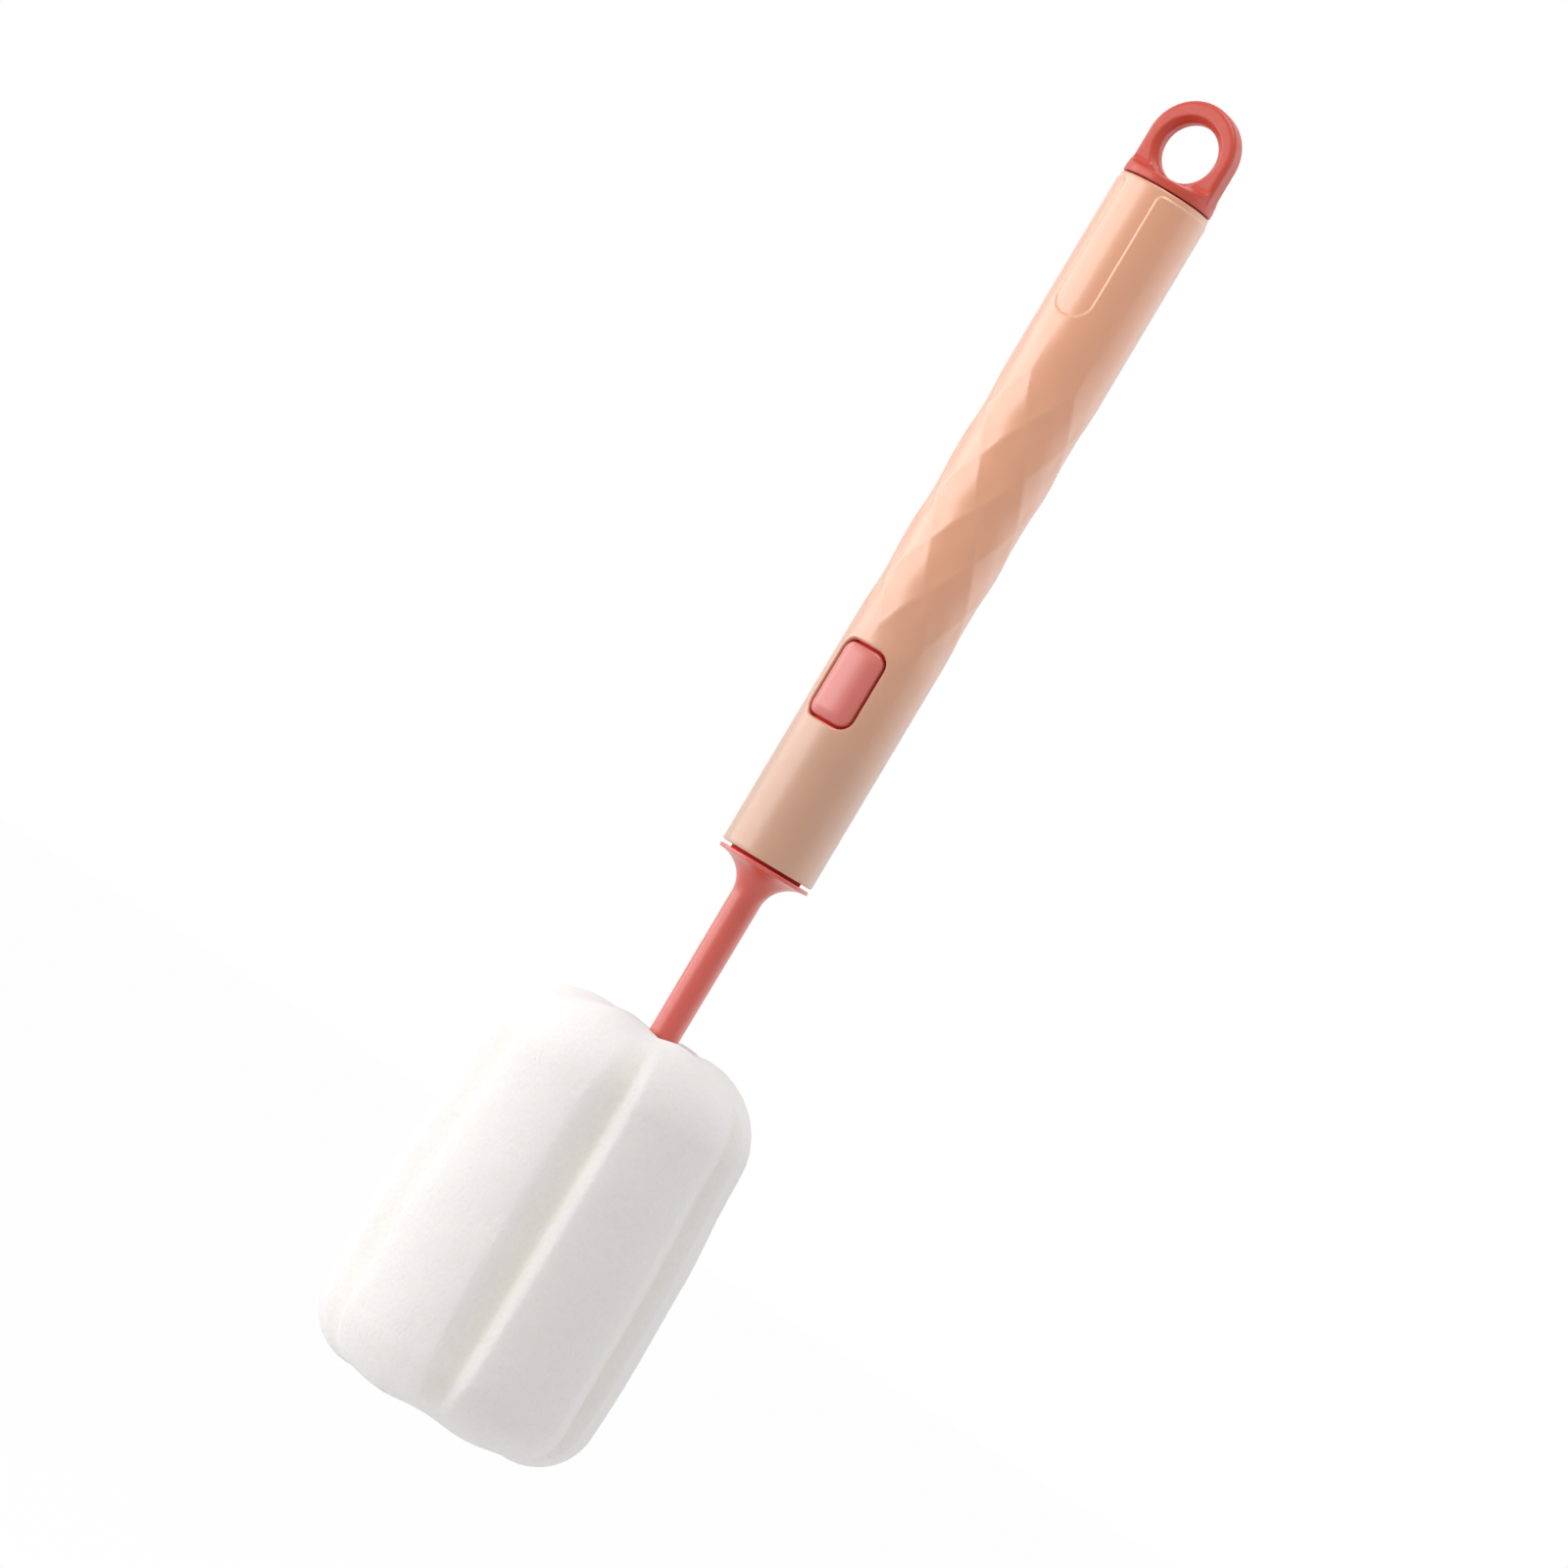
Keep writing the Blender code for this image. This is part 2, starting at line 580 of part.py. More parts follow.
def tail_bush(mat):
    """The stop on the tube's upper end, with a groove for the friction ring and a plug in the tube."""
    head_r = BORE_R - FIT
    groove_half = RING_SECTION / 2 + FIT
    groove_r = BORE_R - RING_GAP - RING_SECTION - FIT
    mid = (BUSH_TOP + BUSH_STOP) / 2
    hollow = TUBE_R - TUBE_WALL - FIT - BUSH_WALL
    bush = turned(
        "tail_bush",
        [
            (0, BUSH_TOP),
            (head_r - END_CHAMFER, BUSH_TOP),
            (head_r, BUSH_TOP - END_CHAMFER),
            (head_r, mid + groove_half),
            (groove_r, mid + groove_half),
            (groove_r, mid - groove_half),
            (head_r, mid - groove_half),
            (head_r, BUSH_STOP),
            (0, BUSH_STOP),
        ],
        mat,
    )
    plug = d_outline(TUBE_R - TUBE_WALL - FIT, TUBE_FLAT - TUBE_WALL - FIT)
    combine(bush, prism("bush_plug", plug, BUSH_STOP - BUSH_PLUG, BUSH_STOP + FIT), "UNION")
    pit = min(hollow, TUBE_FLAT - TUBE_WALL - FIT - BUSH_WALL / 2)
    combine(
        bush, cylinder("bush_pit", pit, BUSH_STOP - 2 * BUSH_PLUG, BUSH_STOP, sides=24), "DIFFERENCE"
    )
    return bush


def friction_ring(mat):
    """The rubber ring in the bush's groove, which steadies the tube in the handle."""
    mid = (BUSH_TOP + BUSH_STOP) / 2
    section = RING_SECTION / 2
    centre = BORE_R - RING_GAP - section
    return turned("friction_ring", arc((centre, mid), section, 0, -315, 7), mat, sides=36)


def neck_stem(mat):
    """The neck below the mouth: a plug in the tube, the round disc, its flare and the slim stem."""
    stem_r, end_r = STEM_TOP_DIAMETER / 2, STEM_END_DIAMETER / 2
    disc_r = DISC_DIAMETER / 2
    flare = []
    for i in range(1, 9):
        t = pi / 2 * i / 8
        r = stem_r + (disc_r - stem_r) * (1 - sin(t))
        flare.append((r, FLARE_TOP - FLARE_HEIGHT * (1 - cos(t))))
    neck = turned(
        "neck_stem",
        [
            (0, NECK_TOP),
            (COLLAR_DIAMETER / 2, NECK_TOP),
            (COLLAR_DIAMETER / 2, DISC_TOP),
            (disc_r, DISC_TOP),
            (disc_r, FLARE_TOP),
        ]
        + flare
        + [
            (end_r, STEM_END),
            (TENON_DIAMETER / 2, STEM_END),
            (TENON_DIAMETER / 2, STEM_END - TENON_LENGTH),
            (0, STEM_END - TENON_LENGTH),
        ],
        mat,
        sides=36,
    )
    plug = d_outline(TUBE_R - TUBE_WALL - FIT, TUBE_FLAT - TUBE_WALL - FIT)
    return combine(neck, prism("neck_plug", plug, NECK_TOP - FIT, NECK_TOP + NECK_PLUG), "UNION")


def core_profile():
    """Outer (radius, z) points of the sponge core, from its collar down to its peg."""
    shank = STEM_END_DIAMETER / 2
    seat_top = CORE_END + SEAT_HEIGHT
    points = [(CORE_COLLAR_DIAMETER / 2, CORE_TOP), (CORE_COLLAR_DIAMETER / 2, CORE_TOP - CORE_COLLAR)]
    points += [(shank, CORE_TOP - CORE_COLLAR)]
    pitch = (CORE_TOP - CORE_COLLAR - seat_top) / (BARB_COUNT + 1)
    for i in range(BARB_COUNT):
        z = CORE_TOP - CORE_COLLAR - pitch * (i + 1)
        points += [(shank, z + BARB_HEIGHT / 2), (BARB_DIAMETER / 2, z + BARB_HEIGHT / 2 - FIT)]
        points += [(BARB_DIAMETER / 2, z), (shank, z - BARB_HEIGHT / 2)]
    points += [(shank, seat_top), (SEAT_DIAMETER / 2, seat_top), (SEAT_DIAMETER / 2, CORE_END)]
    return points + [(PEG_DIAMETER / 2, CORE_END), (PEG_DIAMETER / 2, CORE_END - PEG_LENGTH)]


def sponge_core(mat):
    """The barbed core that the foam is bonded to, with a socket for the stem and a peg for the disc."""
    socket_r = TENON_DIAMETER / 2 + FIT
    floor = CORE_TOP - TENON_LENGTH - FIT
    socket = [(0, CORE_END - PEG_LENGTH), (0, floor), (socket_r, floor), (socket_r, CORE_TOP)]
    return turned("sponge_core", core_profile() + socket, mat, sides=20)


def anchor_disc(mat):
    """The disc on the core's peg that keeps the foam from pulling off."""
    top = CORE_END - FIT
    inner, outer = PEG_DIAMETER / 2 + FIT, ANCHOR_DIAMETER / 2
    low = top - ANCHOR_THICKNESS
    rim = ANCHOR_THICKNESS / 3
    profile = [(inner, top), (outer - rim, top), (outer, top - rim), (outer, low + rim), (outer - rim, low)]
    return turned("anchor_disc", profile + [(inner, low)], mat, sides=32)


def sponge_side(down):
    """Radius of the lobes at a share of the sponge's length below its top."""
    top, wide, low = SPONGE_TOP_DIAMETER / 2, SPONGE_DIAMETER / 2, SPONGE_BOTTOM_DIAMETER / 2
    if down < SPONGE_WIDEST:
        return top + (wide - top) * sin(pi / 2 * down / SPONGE_WIDEST) ** 1.4
    return wide - (wide - low) * ((down - SPONGE_WIDEST) / (1 - SPONGE_WIDEST)) ** 2


def sponge_profile():
    """(radius, z) points down the middle of a lobe, from the neck over the crown to under the base."""
    points = [(CROWN_FLAT * share, SPONGE_TOP) for share in (0.4, 0.72)]
    for i in range(CROWN_STEPS + 1):
        t = pi / 2 * i / CROWN_STEPS
        fall = CROWN_HEIGHT * (1 - cos(t))
        reach = sponge_side(fall / SPONGE_LENGTH) - CROWN_FLAT
        points.append((CROWN_FLAT + reach * sin(t), SPONGE_TOP - fall))
    straight = SPONGE_LENGTH - CROWN_HEIGHT - BASE_CORNER
    for i in range(1, SIDE_STEPS):
        down = (CROWN_HEIGHT + straight * i / SIDE_STEPS) / SPONGE_LENGTH
        points.append((sponge_side(down), SPONGE_TOP - SPONGE_LENGTH * down))
    low_r = SPONGE_BOTTOM_DIAMETER / 2 - BASE_CORNER
    points += arc((low_r, SPONGE_LOW + BASE_CORNER), BASE_CORNER, 0, -90, 4)
    return points + [(low_r * share, SPONGE_LOW) for share in (0.72, 0.4)]


def sponge_ring(radius, height):
    """Points round the foam's skin at one place of its profile: in at the grooves, low between the crowns."""
    sector = 2 * pi / LOBES
    middle = (SPONGE_TOP + SPONGE_LOW) / 2
    reach = min(1.0, abs(height - middle) / (SPONGE_LENGTH / 2))
    lens = 1 - reach**4
    out = min(1.0, radius / (SPONGE_TOP_DIAMETER / 2))
    lip = min(GROOVE_WIDTH / 2 * (1 + lens) / 2 / radius, 0.4 * sector)
    crown = sector / 2
    steps = [(0, 1), (0.6 * lip, 0.8), (lip, 0.05), ((lip + crown) / 2, 0), (crown, 0)]
    turns = []
    for k in range(LOBES):
        groove = sector * (k + 0.5)
        turns += [(groove - off, off, deep) for off, deep in steps[:0:-1]]
        turns += [(groove + off, off, deep) for off, deep in steps[:-1]]

    bowl = DIMPLE_DEPTH * max(0.0, 1 - out / 0.6) ** 1.5
    ring = []
    for turn, off, deep in turns:
        valley = END_DIP * (0.5 + 0.5 * cos(pi * off / crown)) * min(1.0, 1.5 * out)
        sunk = (valley + bowl) * reach**8
        r = radius - GROOVE_DEPTH * lens * deep * out
        z = height - sunk if height > middle else height + sunk / 2
        ring.append((r * sin(turn), -r * cos(turn), z))
    return ring


def sponge(mat):
    """The lobed foam head, with the cavity that the core and the anchor disc sit in."""
    bm = bmesh.new()
    rings = [[bm.verts.new(point) for point in sponge_ring(r, z)] for r, z in sponge_profile()]
    count = len(rings[0])
    for upper, lower in zip(rings, rings[1:]):
        for i in range(count):
            k = (i + 1) % count
            bm.faces.new((upper[i], upper[k], lower[k], lower[i]))
    for ring, z in ((rings[0], SPONGE_TOP - DIMPLE_DEPTH), (rings[-1], SPONGE_LOW + DIMPLE_DEPTH / 2)):
        hub = bm.verts.new((0, 0, z))
        for i in range(count):
            bm.faces.new((ring[i], ring[(i + 1) % count], hub))
    foam = object_from("sponge", bm, mat)

    barb_r = BARB_DIAMETER / 2 + FIT
    seat_r = SEAT_DIAMETER / 2 + FIT
    seat_top = CORE_END + SEAT_HEIGHT + FIT
    disc_r = ANCHOR_DIAMETER / 2 + FIT
    disc_low = CORE_END - 2 * FIT - ANCHOR_THICKNESS
    collar_r = CORE_COLLAR_DIAMETER / 2 + FIT
    collar_low = CORE_TOP - CORE_COLLAR - FIT
    peg_r = PEG_DIAMETER / 2 + FIT
    peg_low = CORE_END - PEG_LENGTH - FIT
    cavity = [
        (0, SPONGE_TOP + STEM_SINK),
        (collar_r, SPONGE_TOP + STEM_SINK),
        (collar_r, collar_low),
        (barb_r, collar_low - barb_r),
        (barb_r, seat_top + barb_r),
        (seat_r, seat_top),
        (seat_r, CORE_END),
        (disc_r, CORE_END),
        (disc_r, disc_low),
        (peg_r, disc_low),
        (peg_r, peg_low),
        (0, peg_low),
    ]
    return combine(foam, turned("sponge_cavity", cavity, sides=16), "DIFFERENCE")


def joint_frame(name, place, children):
    """An empty on a joint's axis that carries the pieces of one moving body."""
    empty = bpy.data.objects.new(name, None)
    empty.empty_display_size = 10 * MM
    empty.location = place
    bpy.context.scene.collection.objects.link(empty)
    for child in children:
        child.parent = empty
        child.location = child.location - empty.location
    return empty


def build():
    clear_scene()
    peach = finish("peach plastic", (0.80, 0.55, 0.42), 0.45)
    coral = finish("coral plastic", (0.62, 0.12, 0.09), 0.42)
    pink = finish("button plastic", (0.72, 0.22, 0.19), 0.45)
    white = finish("white plastic", (0.75, 0.74, 0.72), 0.40)
    steel = finish("spring steel", (0.55, 0.55, 0.57), 0.30, 1.0)
    rubber = finish("black rubber", (0.03, 0.03, 0.03), 0.80)
    foam = finish("white foam", (0.90, 0.90, 0.89), 0.95)

    handle_tube(peach)
    hang_cap(coral)
    guide_sleeve(coral)
    lever_pin(steel)
    lever_spring(steel)
    button = push_button(pink)
    lever = brake_lever(white)
    pad = brake_pad(rubber)
    sliding = [
        extension_tube(coral),
        tail_bush(coral),
        friction_ring(rubber),
        neck_stem(coral),
        sponge_core(white),
        anchor_disc(white),
        sponge(foam),
    ]
    joint_frame("button_axis", (0, -HANDLE_R, WINDOW_Z), [button])
    joint_frame("lever_axis", (0, PIN_Y, PIVOT_Z), [lever, pad])
    joint_frame("extension_axis", (0, 0, MOUTH_Z), sliding)


build()
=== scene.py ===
from math import asin, atan2, ceil, cos, hypot, pi, radians, sin, sqrt, tan, tanh

import bmesh
import bpy
from mathutils import Matrix, Vector, noise
from mathutils.geometry import delaunay_2d_cdt


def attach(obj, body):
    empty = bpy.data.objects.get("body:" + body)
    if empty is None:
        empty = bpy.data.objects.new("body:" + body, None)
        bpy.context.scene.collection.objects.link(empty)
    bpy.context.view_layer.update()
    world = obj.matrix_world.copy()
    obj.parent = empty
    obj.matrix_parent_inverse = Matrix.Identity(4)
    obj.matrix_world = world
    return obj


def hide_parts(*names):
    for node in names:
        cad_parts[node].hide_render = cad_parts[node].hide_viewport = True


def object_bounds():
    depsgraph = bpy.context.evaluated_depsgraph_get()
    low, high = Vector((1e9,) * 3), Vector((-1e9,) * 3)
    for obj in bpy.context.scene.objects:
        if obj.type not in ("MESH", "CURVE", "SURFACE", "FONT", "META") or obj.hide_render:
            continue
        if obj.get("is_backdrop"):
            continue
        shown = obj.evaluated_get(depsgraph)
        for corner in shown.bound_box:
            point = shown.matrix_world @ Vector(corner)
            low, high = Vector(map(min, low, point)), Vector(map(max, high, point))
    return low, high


mm = 0.001
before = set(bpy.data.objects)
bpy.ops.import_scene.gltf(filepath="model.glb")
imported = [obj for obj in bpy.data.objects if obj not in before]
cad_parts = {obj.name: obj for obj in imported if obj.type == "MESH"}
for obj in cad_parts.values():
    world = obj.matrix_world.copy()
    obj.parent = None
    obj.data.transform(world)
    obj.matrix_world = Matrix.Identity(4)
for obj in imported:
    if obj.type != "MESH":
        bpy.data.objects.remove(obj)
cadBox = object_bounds()
print("frame loaded, nodes:", len(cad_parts))


# view and light: the camera is rolled so that the brush leans as in the photograph
view = {
    "azimuth": 32.3,
    "elevation": -0.7,
    "roll": 30.84,
    "distance": 1.5,
    "frameWidth": 0.3072,
    "sensor": 36,
    "middle": (0.0, 0.0, -0.1391),
    "right": 8.36,  # mm from the frame's middle to the brush's middle
    "up": 4.00,
}
softBoxes = {
    "leftBox": {"turn": -104, "lift": 6, "away": 1.0, "wide": 0.62, "tall": 0.5, "watts": 2.55},
    "frontBox": {"turn": -67, "lift": 6, "away": 1.0, "wide": 0.56, "tall": 0.5, "watts": 3.0},
    "rightBox": {"turn": 104, "lift": 6, "away": 1.0, "wide": 1.4, "tall": 1.2, "watts": 3.4},
    "topBox": {"turn": -20, "lift": 70, "away": 1.0, "wide": 0.6, "tall": 0.6, "watts": 4.4},
}
room = {
    "skyLight": 0.45,
    "floorHeight": -0.40,
    "floorSize": 6.0,
    "floorWhite": 0.98,
    "floorTones": ((0.86, 0.86, 0.86, 1), (0.84, 0.84, 0.84, 1)),
    "floorCloud": 60,  # mm
}


def heading(azimuth, elevation):
    a, e = radians(azimuth), radians(elevation)
    return Vector((sin(a) * cos(e), -cos(a) * cos(e), sin(e)))


def addToScene(name, data):
    made = bpy.data.objects.new(name, data)
    bpy.context.scene.collection.objects.link(made)
    return made


def addCamera():
    back = heading(view["azimuth"], view["elevation"])
    level = Vector((cos(radians(view["azimuth"])), sin(radians(view["azimuth"])), 0))
    upright = back.cross(level)
    roll = radians(view["roll"])
    right = cos(roll) * level + sin(roll) * upright
    up = cos(roll) * upright - sin(roll) * level
    aim = Vector(view["middle"]) - right * view["right"] * mm - up * view["up"] * mm
    lens = bpy.data.cameras.new("photoLens")
    lens.sensor_width = view["sensor"]
    lens.lens = view["sensor"] * view["distance"] / view["frameWidth"]
    lens.clip_end = 30
    camera = addToScene("photoCamera", lens)
    turn = Matrix((right, up, back)).transposed().to_4x4()
    camera.matrix_world = Matrix.Translation(aim + back * view["distance"]) @ turn
    bpy.context.scene.camera = camera


def addLights():
    centre = Vector(view["middle"])
    for name, box in softBoxes.items():
        lamp = bpy.data.lights.new(name, "AREA")
        lamp.shape = "RECTANGLE"
        lamp.size, lamp.size_y = box["wide"], box["tall"]
        lamp.energy = box["watts"]
        away = heading(view["azimuth"] + box["turn"], box["lift"])
        light = addToScene(name, lamp)
        light.location = centre + away * box["away"]
        light.rotation_euler = away.to_track_quat("Z", "Y").to_euler()
        light.visible_camera = False


addCamera()
addLights()
bpy.context.scene.view_settings.view_transform = "Standard"
print("camera and lights placed")


# materials: a Wire carries an output socket, a Finish builds one node tree
class Wire:
    def __init__(self, finish, socket):
        self.finish, self.socket = finish, socket

    def maths(self, operation, first, second):
        return self.finish.node("ShaderNodeMath", {"operation": operation}, {0: first, 1: second})

    def __add__(self, other):
        return self.maths("ADD", self, other)

    def __radd__(self, other):
        return self.maths("ADD", other, self)

    def __sub__(self, other):
        return self.maths("SUBTRACT", self, other)

    def __rsub__(self, other):
        return self.maths("SUBTRACT", other, self)

    def __mul__(self, other):
        return self.maths("MULTIPLY", self, other)

    def __rmul__(self, other):
        return self.maths("MULTIPLY", other, self)


class Finish:
    def __init__(self, name, owner=None):
        self.owner = owner or bpy.data.materials.new(name)
        self.owner.use_nodes = True
        self.tree = self.owner.node_tree
        self.tree.nodes.clear()
        self.place = self.node("ShaderNodeTexCoord", out="Object") if owner is None else None

    def node(self, kind, settings=None, values=None, out=0):
        made = self.tree.nodes.new(kind)
        for key, value in (settings or {}).items():
            if key == "stops":
                while len(made.color_ramp.elements) < len(value):
                    made.color_ramp.elements.new(0.5)
                for element, (spot, shade) in zip(made.color_ramp.elements, value):
                    element.position, element.color = spot, (shade, shade, shade, 1)
            else:
                setattr(made, key, value)
        for key, value in (values or {}).items():
            if isinstance(value, Wire):
                self.tree.links.new(value.socket, made.inputs[key])
            else:
                made.inputs[key].default_value = value
        return Wire(self, made.outputs[out]) if made.outputs else None

    def grain(self, size, detail=2.0, rough=0.5):  # size of the marks in mm
        values = {"Vector": self.place, "Scale": 1 / (size * mm), "Detail": detail, "Roughness": rough}
        return self.node("ShaderNodeTexNoise", {}, values)

    def pores(self, size):
        values = {"Vector": self.place, "Scale": 1 / (size * mm)}
        return self.node("ShaderNodeTexVoronoi", {}, values)

    def ramp(self, value, *stops):
        return self.node("ShaderNodeValToRGB", {"stops": stops}, {0: value})

    def mix(self, share, first, second):
        return self.node("ShaderNodeMix", {"data_type": "RGBA"}, {0: share, 6: first, 7: second}, 2)

    def mark(self, name):  # a number kept on the mesh's points
        return self.node("ShaderNodeAttribute", {"attribute_name": name}, {}, "Fac")

    def along(self, axis):
        return self.node("ShaderNodeSeparateXYZ", {}, {0: self.place}, axis)

    def seen(self):  # 1 for what the camera sees, straight or in a reflection
        share = 0.0
        for ray in ("Is Camera Ray", "Is Glossy Ray", "Is Transmission Ray"):
            flag = self.node("ShaderNodeLightPath", out=ray)
            share = self.node("ShaderNodeMath", {"operation": "MAXIMUM"}, {0: share, 1: flag})
        return share

    def bump(self, height, depth, strength=1.0):  # depth in mm
        values = {"Height": height, "Distance": depth * mm, "Strength": strength}
        return self.node("ShaderNodeBump", {}, values)

    def close(self, values):
        shader = self.node("ShaderNodeBsdfPrincipled", {}, values)
        self.node("ShaderNodeOutputMaterial", {}, {"Surface": shader})
        return self.owner


# finishes: colours, with sizes and depths of the grain in mm
plasticGrain = {
    "cloud": 9,
    "speck": 0.32,
    "rub": 1.6,
    "depth": 0.012,
    "handleCloud": 7,
    "handleWearAndGlint": 1.1,
    "handleDepth": 0.0192,
}
peachTone = {
    "upper": (0.745, 0.31, 0.15, 1),
    # painted shade: the lower tone makes the handle darker and beiger towards the mouth
    "lower": (0.53, 0.272, 0.158, 1),
    "cloud": (0.74, 0.35, 0.20, 1),
    # paler edge tone: wear, and partly a painted highlight on the rounded rims of the window, tab and mouth
    "edge": (0.82, 0.50, 0.34, 1),
    "rough": 0.38,
    "lowerRough": 0.12,  # added where the tone is the lower one
    "fadeStart": 95,  # mm below the hang hole
    "fadeLong": 45,
    "coat": 0.85,
}
gapShadeTone = {  # painted shade: a saturated dark red on the wall's cut and bore, the button's sides and the neck's collar, where the gaps lie in shade
    "main": (0.80, 0.035, 0.028, 1),
    "rough": 0.5,  # added to the roughness there
}
coralTone = {
    "main": (0.62, 0.072, 0.040, 1),
    "deep": (0.56, 0.058, 0.032, 1),
    "rough": 0.34,
    "soft": 0.10,
    "coat": 0.0,
}
neckTone = {
    "main": (0.66, 0.076, 0.044, 1),
    "deep": (0.61, 0.066, 0.038, 1),
    "rough": 0.42,
    "soft": 0.10,
    "coat": 0.9,
}
buttonTone = {
    "main": (0.63, 0.125, 0.095, 1),
    "deep": (0.59, 0.110, 0.082, 1),
    "rough": 0.42,
    "soft": 0.12,
    "coat": 0.95,
}
whiteTone = {
    "main": (0.80, 0.79, 0.77, 1),
    "deep": (0.74, 0.73, 0.70, 1),
    "rough": 0.42,
    "soft": 0.0,
    "coat": 0.0,
}
foamTone = {
    "skin": (0.912, 0.886, 0.868, 1),
    # painted light: a yellowish tint for the light scattered in the grooves' shade
    "hollow": (0.955, 0.93, 0.845, 1),
    "pore": (0.85, 0.83, 0.81, 1),
    "stretch": (1, 1, 0.6),  # the marks are longer along the head
    "fluff": 0.8,
    "cell": 0.7,
    "patch": 3.2,
    "depth": 0.16,
    "rough": 0.97,
}
steelTone = {
    "main": (0.62, 0.62, 0.63, 1),
    "deep": (0.48, 0.48, 0.50, 1),
    "rough": 0.28,
    "streak": 0.12,
    "stain": 2.5,
    "depth": 0.004,
}
rubberTone = {
    "main": (0.030, 0.030, 0.031, 1),
    "deep": (0.052, 0.051, 0.050, 1),
    "rough": 0.72,
    "dust": 0.5,
    "depth": 0.02,
}


def mouldedSkin(finish, rough, depth):
    # roughness and bump of moulded plastic: fine specks and rubbed patches
    speck = finish.grain(plasticGrain["speck"], 3, 0.6)
    worn = finish.grain(plasticGrain["rub"], 2)
    gloss = rough + 0.10 * (worn - 0.5) + 0.06 * (speck - 0.5)
    return gloss, finish.bump(speck * 0.7 + worn * 0.3, depth)


def peachFinish():
    tone = peachTone
    finish = Finish("peachSatin")
    gloss, relief = mouldedSkin(finish, tone["rough"], plasticGrain["handleDepth"])
    down = finish.along("Z") * (-1 / mm)
    # share of the painted lower shade, growing towards the mouth
    lower = finish.ramp((down - tone["fadeStart"]) * (1 / tone["fadeLong"]), (0, 0), (1, 1))
    clouds = finish.grain(plasticGrain["handleCloud"], 3)
    # paler rims: wear, and partly a painted highlight
    wornAndHighlit = finish.mark("rim") * (0.25 + 0.5 * finish.grain(plasticGrain["handleWearAndGlint"], 3))
    # where the painted gap shade goes
    inside = finish.mark("inside")
    colour = finish.mix(lower, tone["upper"], tone["lower"])
    colour = finish.mix((clouds - 0.5) * 0.30 + 0.15, colour, tone["cloud"])
    colour = finish.mix(wornAndHighlit, colour, tone["edge"])
    colour = finish.mix(inside, colour, gapShadeTone["main"])
    gloss = gloss - 0.05 * finish.mark("crease") + tone["lowerRough"] * lower + gapShadeTone["rough"] * inside
    values = {"Base Color": colour, "Roughness": gloss, "Normal": relief}
    values.update({"Subsurface Weight": 0.12, "Subsurface Radius": (1.0, 0.45, 0.3)})
    values.update({"Subsurface Scale": 0.0012, "Specular IOR Level": 1.0})
    values.update({"Coat Weight": tone["coat"] - tone["coat"] * inside, "Coat IOR": 1.6})
    values.update({"Coat Roughness": 0.35, "Sheen Weight": 0.5, "Sheen Roughness": 0.35})
    return finish.close(values)


def plasticFinish(name, tone):
    finish = Finish(name)
    gloss, relief = mouldedSkin(finish, tone["rough"], plasticGrain["depth"])
    colour = finish.mix(finish.grain(plasticGrain["cloud"], 3), tone["main"], tone["deep"])
    values = {"Normal": relief}
    if tone["soft"]:
        values.update({"Subsurface Weight": tone["soft"], "Subsurface Radius": (1.0, 0.3, 0.2)})
        values["Subsurface Scale"] = 0.001
    if tone["coat"]:
        # where the painted gap shade goes
        inside = finish.mark("inside")
        colour, gloss = finish.mix(inside, colour, gapShadeTone["main"]), gloss + gapShadeTone["rough"] * inside
        values.update({"Coat Weight": tone["coat"] - tone["coat"] * inside, "Coat IOR": 1.6})
        values["Coat Roughness"] = 0.38
    values.update({"Base Color": colour, "Roughness": gloss})
    return finish.close(values)


def steelFinish():
    tone = steelTone
    finish = Finish("drawnSteel")
    streaks = finish.grain(tone["streak"], 4, 0.6)
    colour = finish.mix(finish.grain(tone["stain"], 2), tone["main"], tone["deep"])
    gloss = tone["rough"] + 0.16 * (streaks - 0.5)
    relief = finish.bump(streaks, tone["depth"])
    return finish.close({"Base Color": colour, "Roughness": gloss, "Metallic": 1.0, "Normal": relief})


def rubberFinish():
    tone = rubberTone
    finish = Finish("blackRubber")
    dust = finish.grain(tone["dust"], 3)
    colour = finish.mix(dust, tone["main"], tone["deep"])
    gloss = tone["rough"] + 0.12 * (dust - 0.5)
    relief = finish.bump(dust, tone["depth"])
    return finish.close({"Base Color": colour, "Roughness": gloss, "Normal": relief})


def foamFinish():
    tone = foamTone
    finish = Finish("whiteFoam")
    stretch = {0: finish.place, 1: tone["stretch"]}
    finish.place = finish.node("ShaderNodeVectorMath", {"operation": "MULTIPLY"}, stretch)
    fluff = finish.grain(tone["fluff"], 2, 0.6)
    cells = finish.pores(tone["cell"])
    patches = finish.grain(tone["patch"], 2)
    dots = finish.ramp(cells, (0.10, 1), (0.42, 0))
    # the painted groove tint
    colour = finish.mix(finish.mark("hollow"), tone["skin"], tone["hollow"])
    colour = finish.mix(dots * 0.45 + (patches - 0.5) * 0.2, colour, tone["pore"])
    relief = finish.bump(cells * 0.35 + fluff * 0.9 + patches * 0.5, tone["depth"])
    values = {"Base Color": colour, "Roughness": tone["rough"] - 0.05 * dots, "Normal": relief}
    values.update({"Specular IOR Level": 0.15, "Subsurface Weight": 0.5, "Subsurface Scale": 0.004})
    values["Subsurface Radius"] = (1.0, 0.95, 0.75)
    return finish.close(values)


peach = peachFinish()
coral = plasticFinish("coralSatin", coralTone)
coralGloss = plasticFinish("coralGloss", neckTone)
buttonPink = plasticFinish("buttonSatin", buttonTone)
whitePlastic = plasticFinish("whitePlastic", whiteTone)
steel = steelFinish()
rubber = rubberFinish()
foam = foamFinish()
print("materials made")


# mesh helpers: lengths in mm, turned into metres once in addPiece
weld = {"points": 0.004, "edges": 0.001}


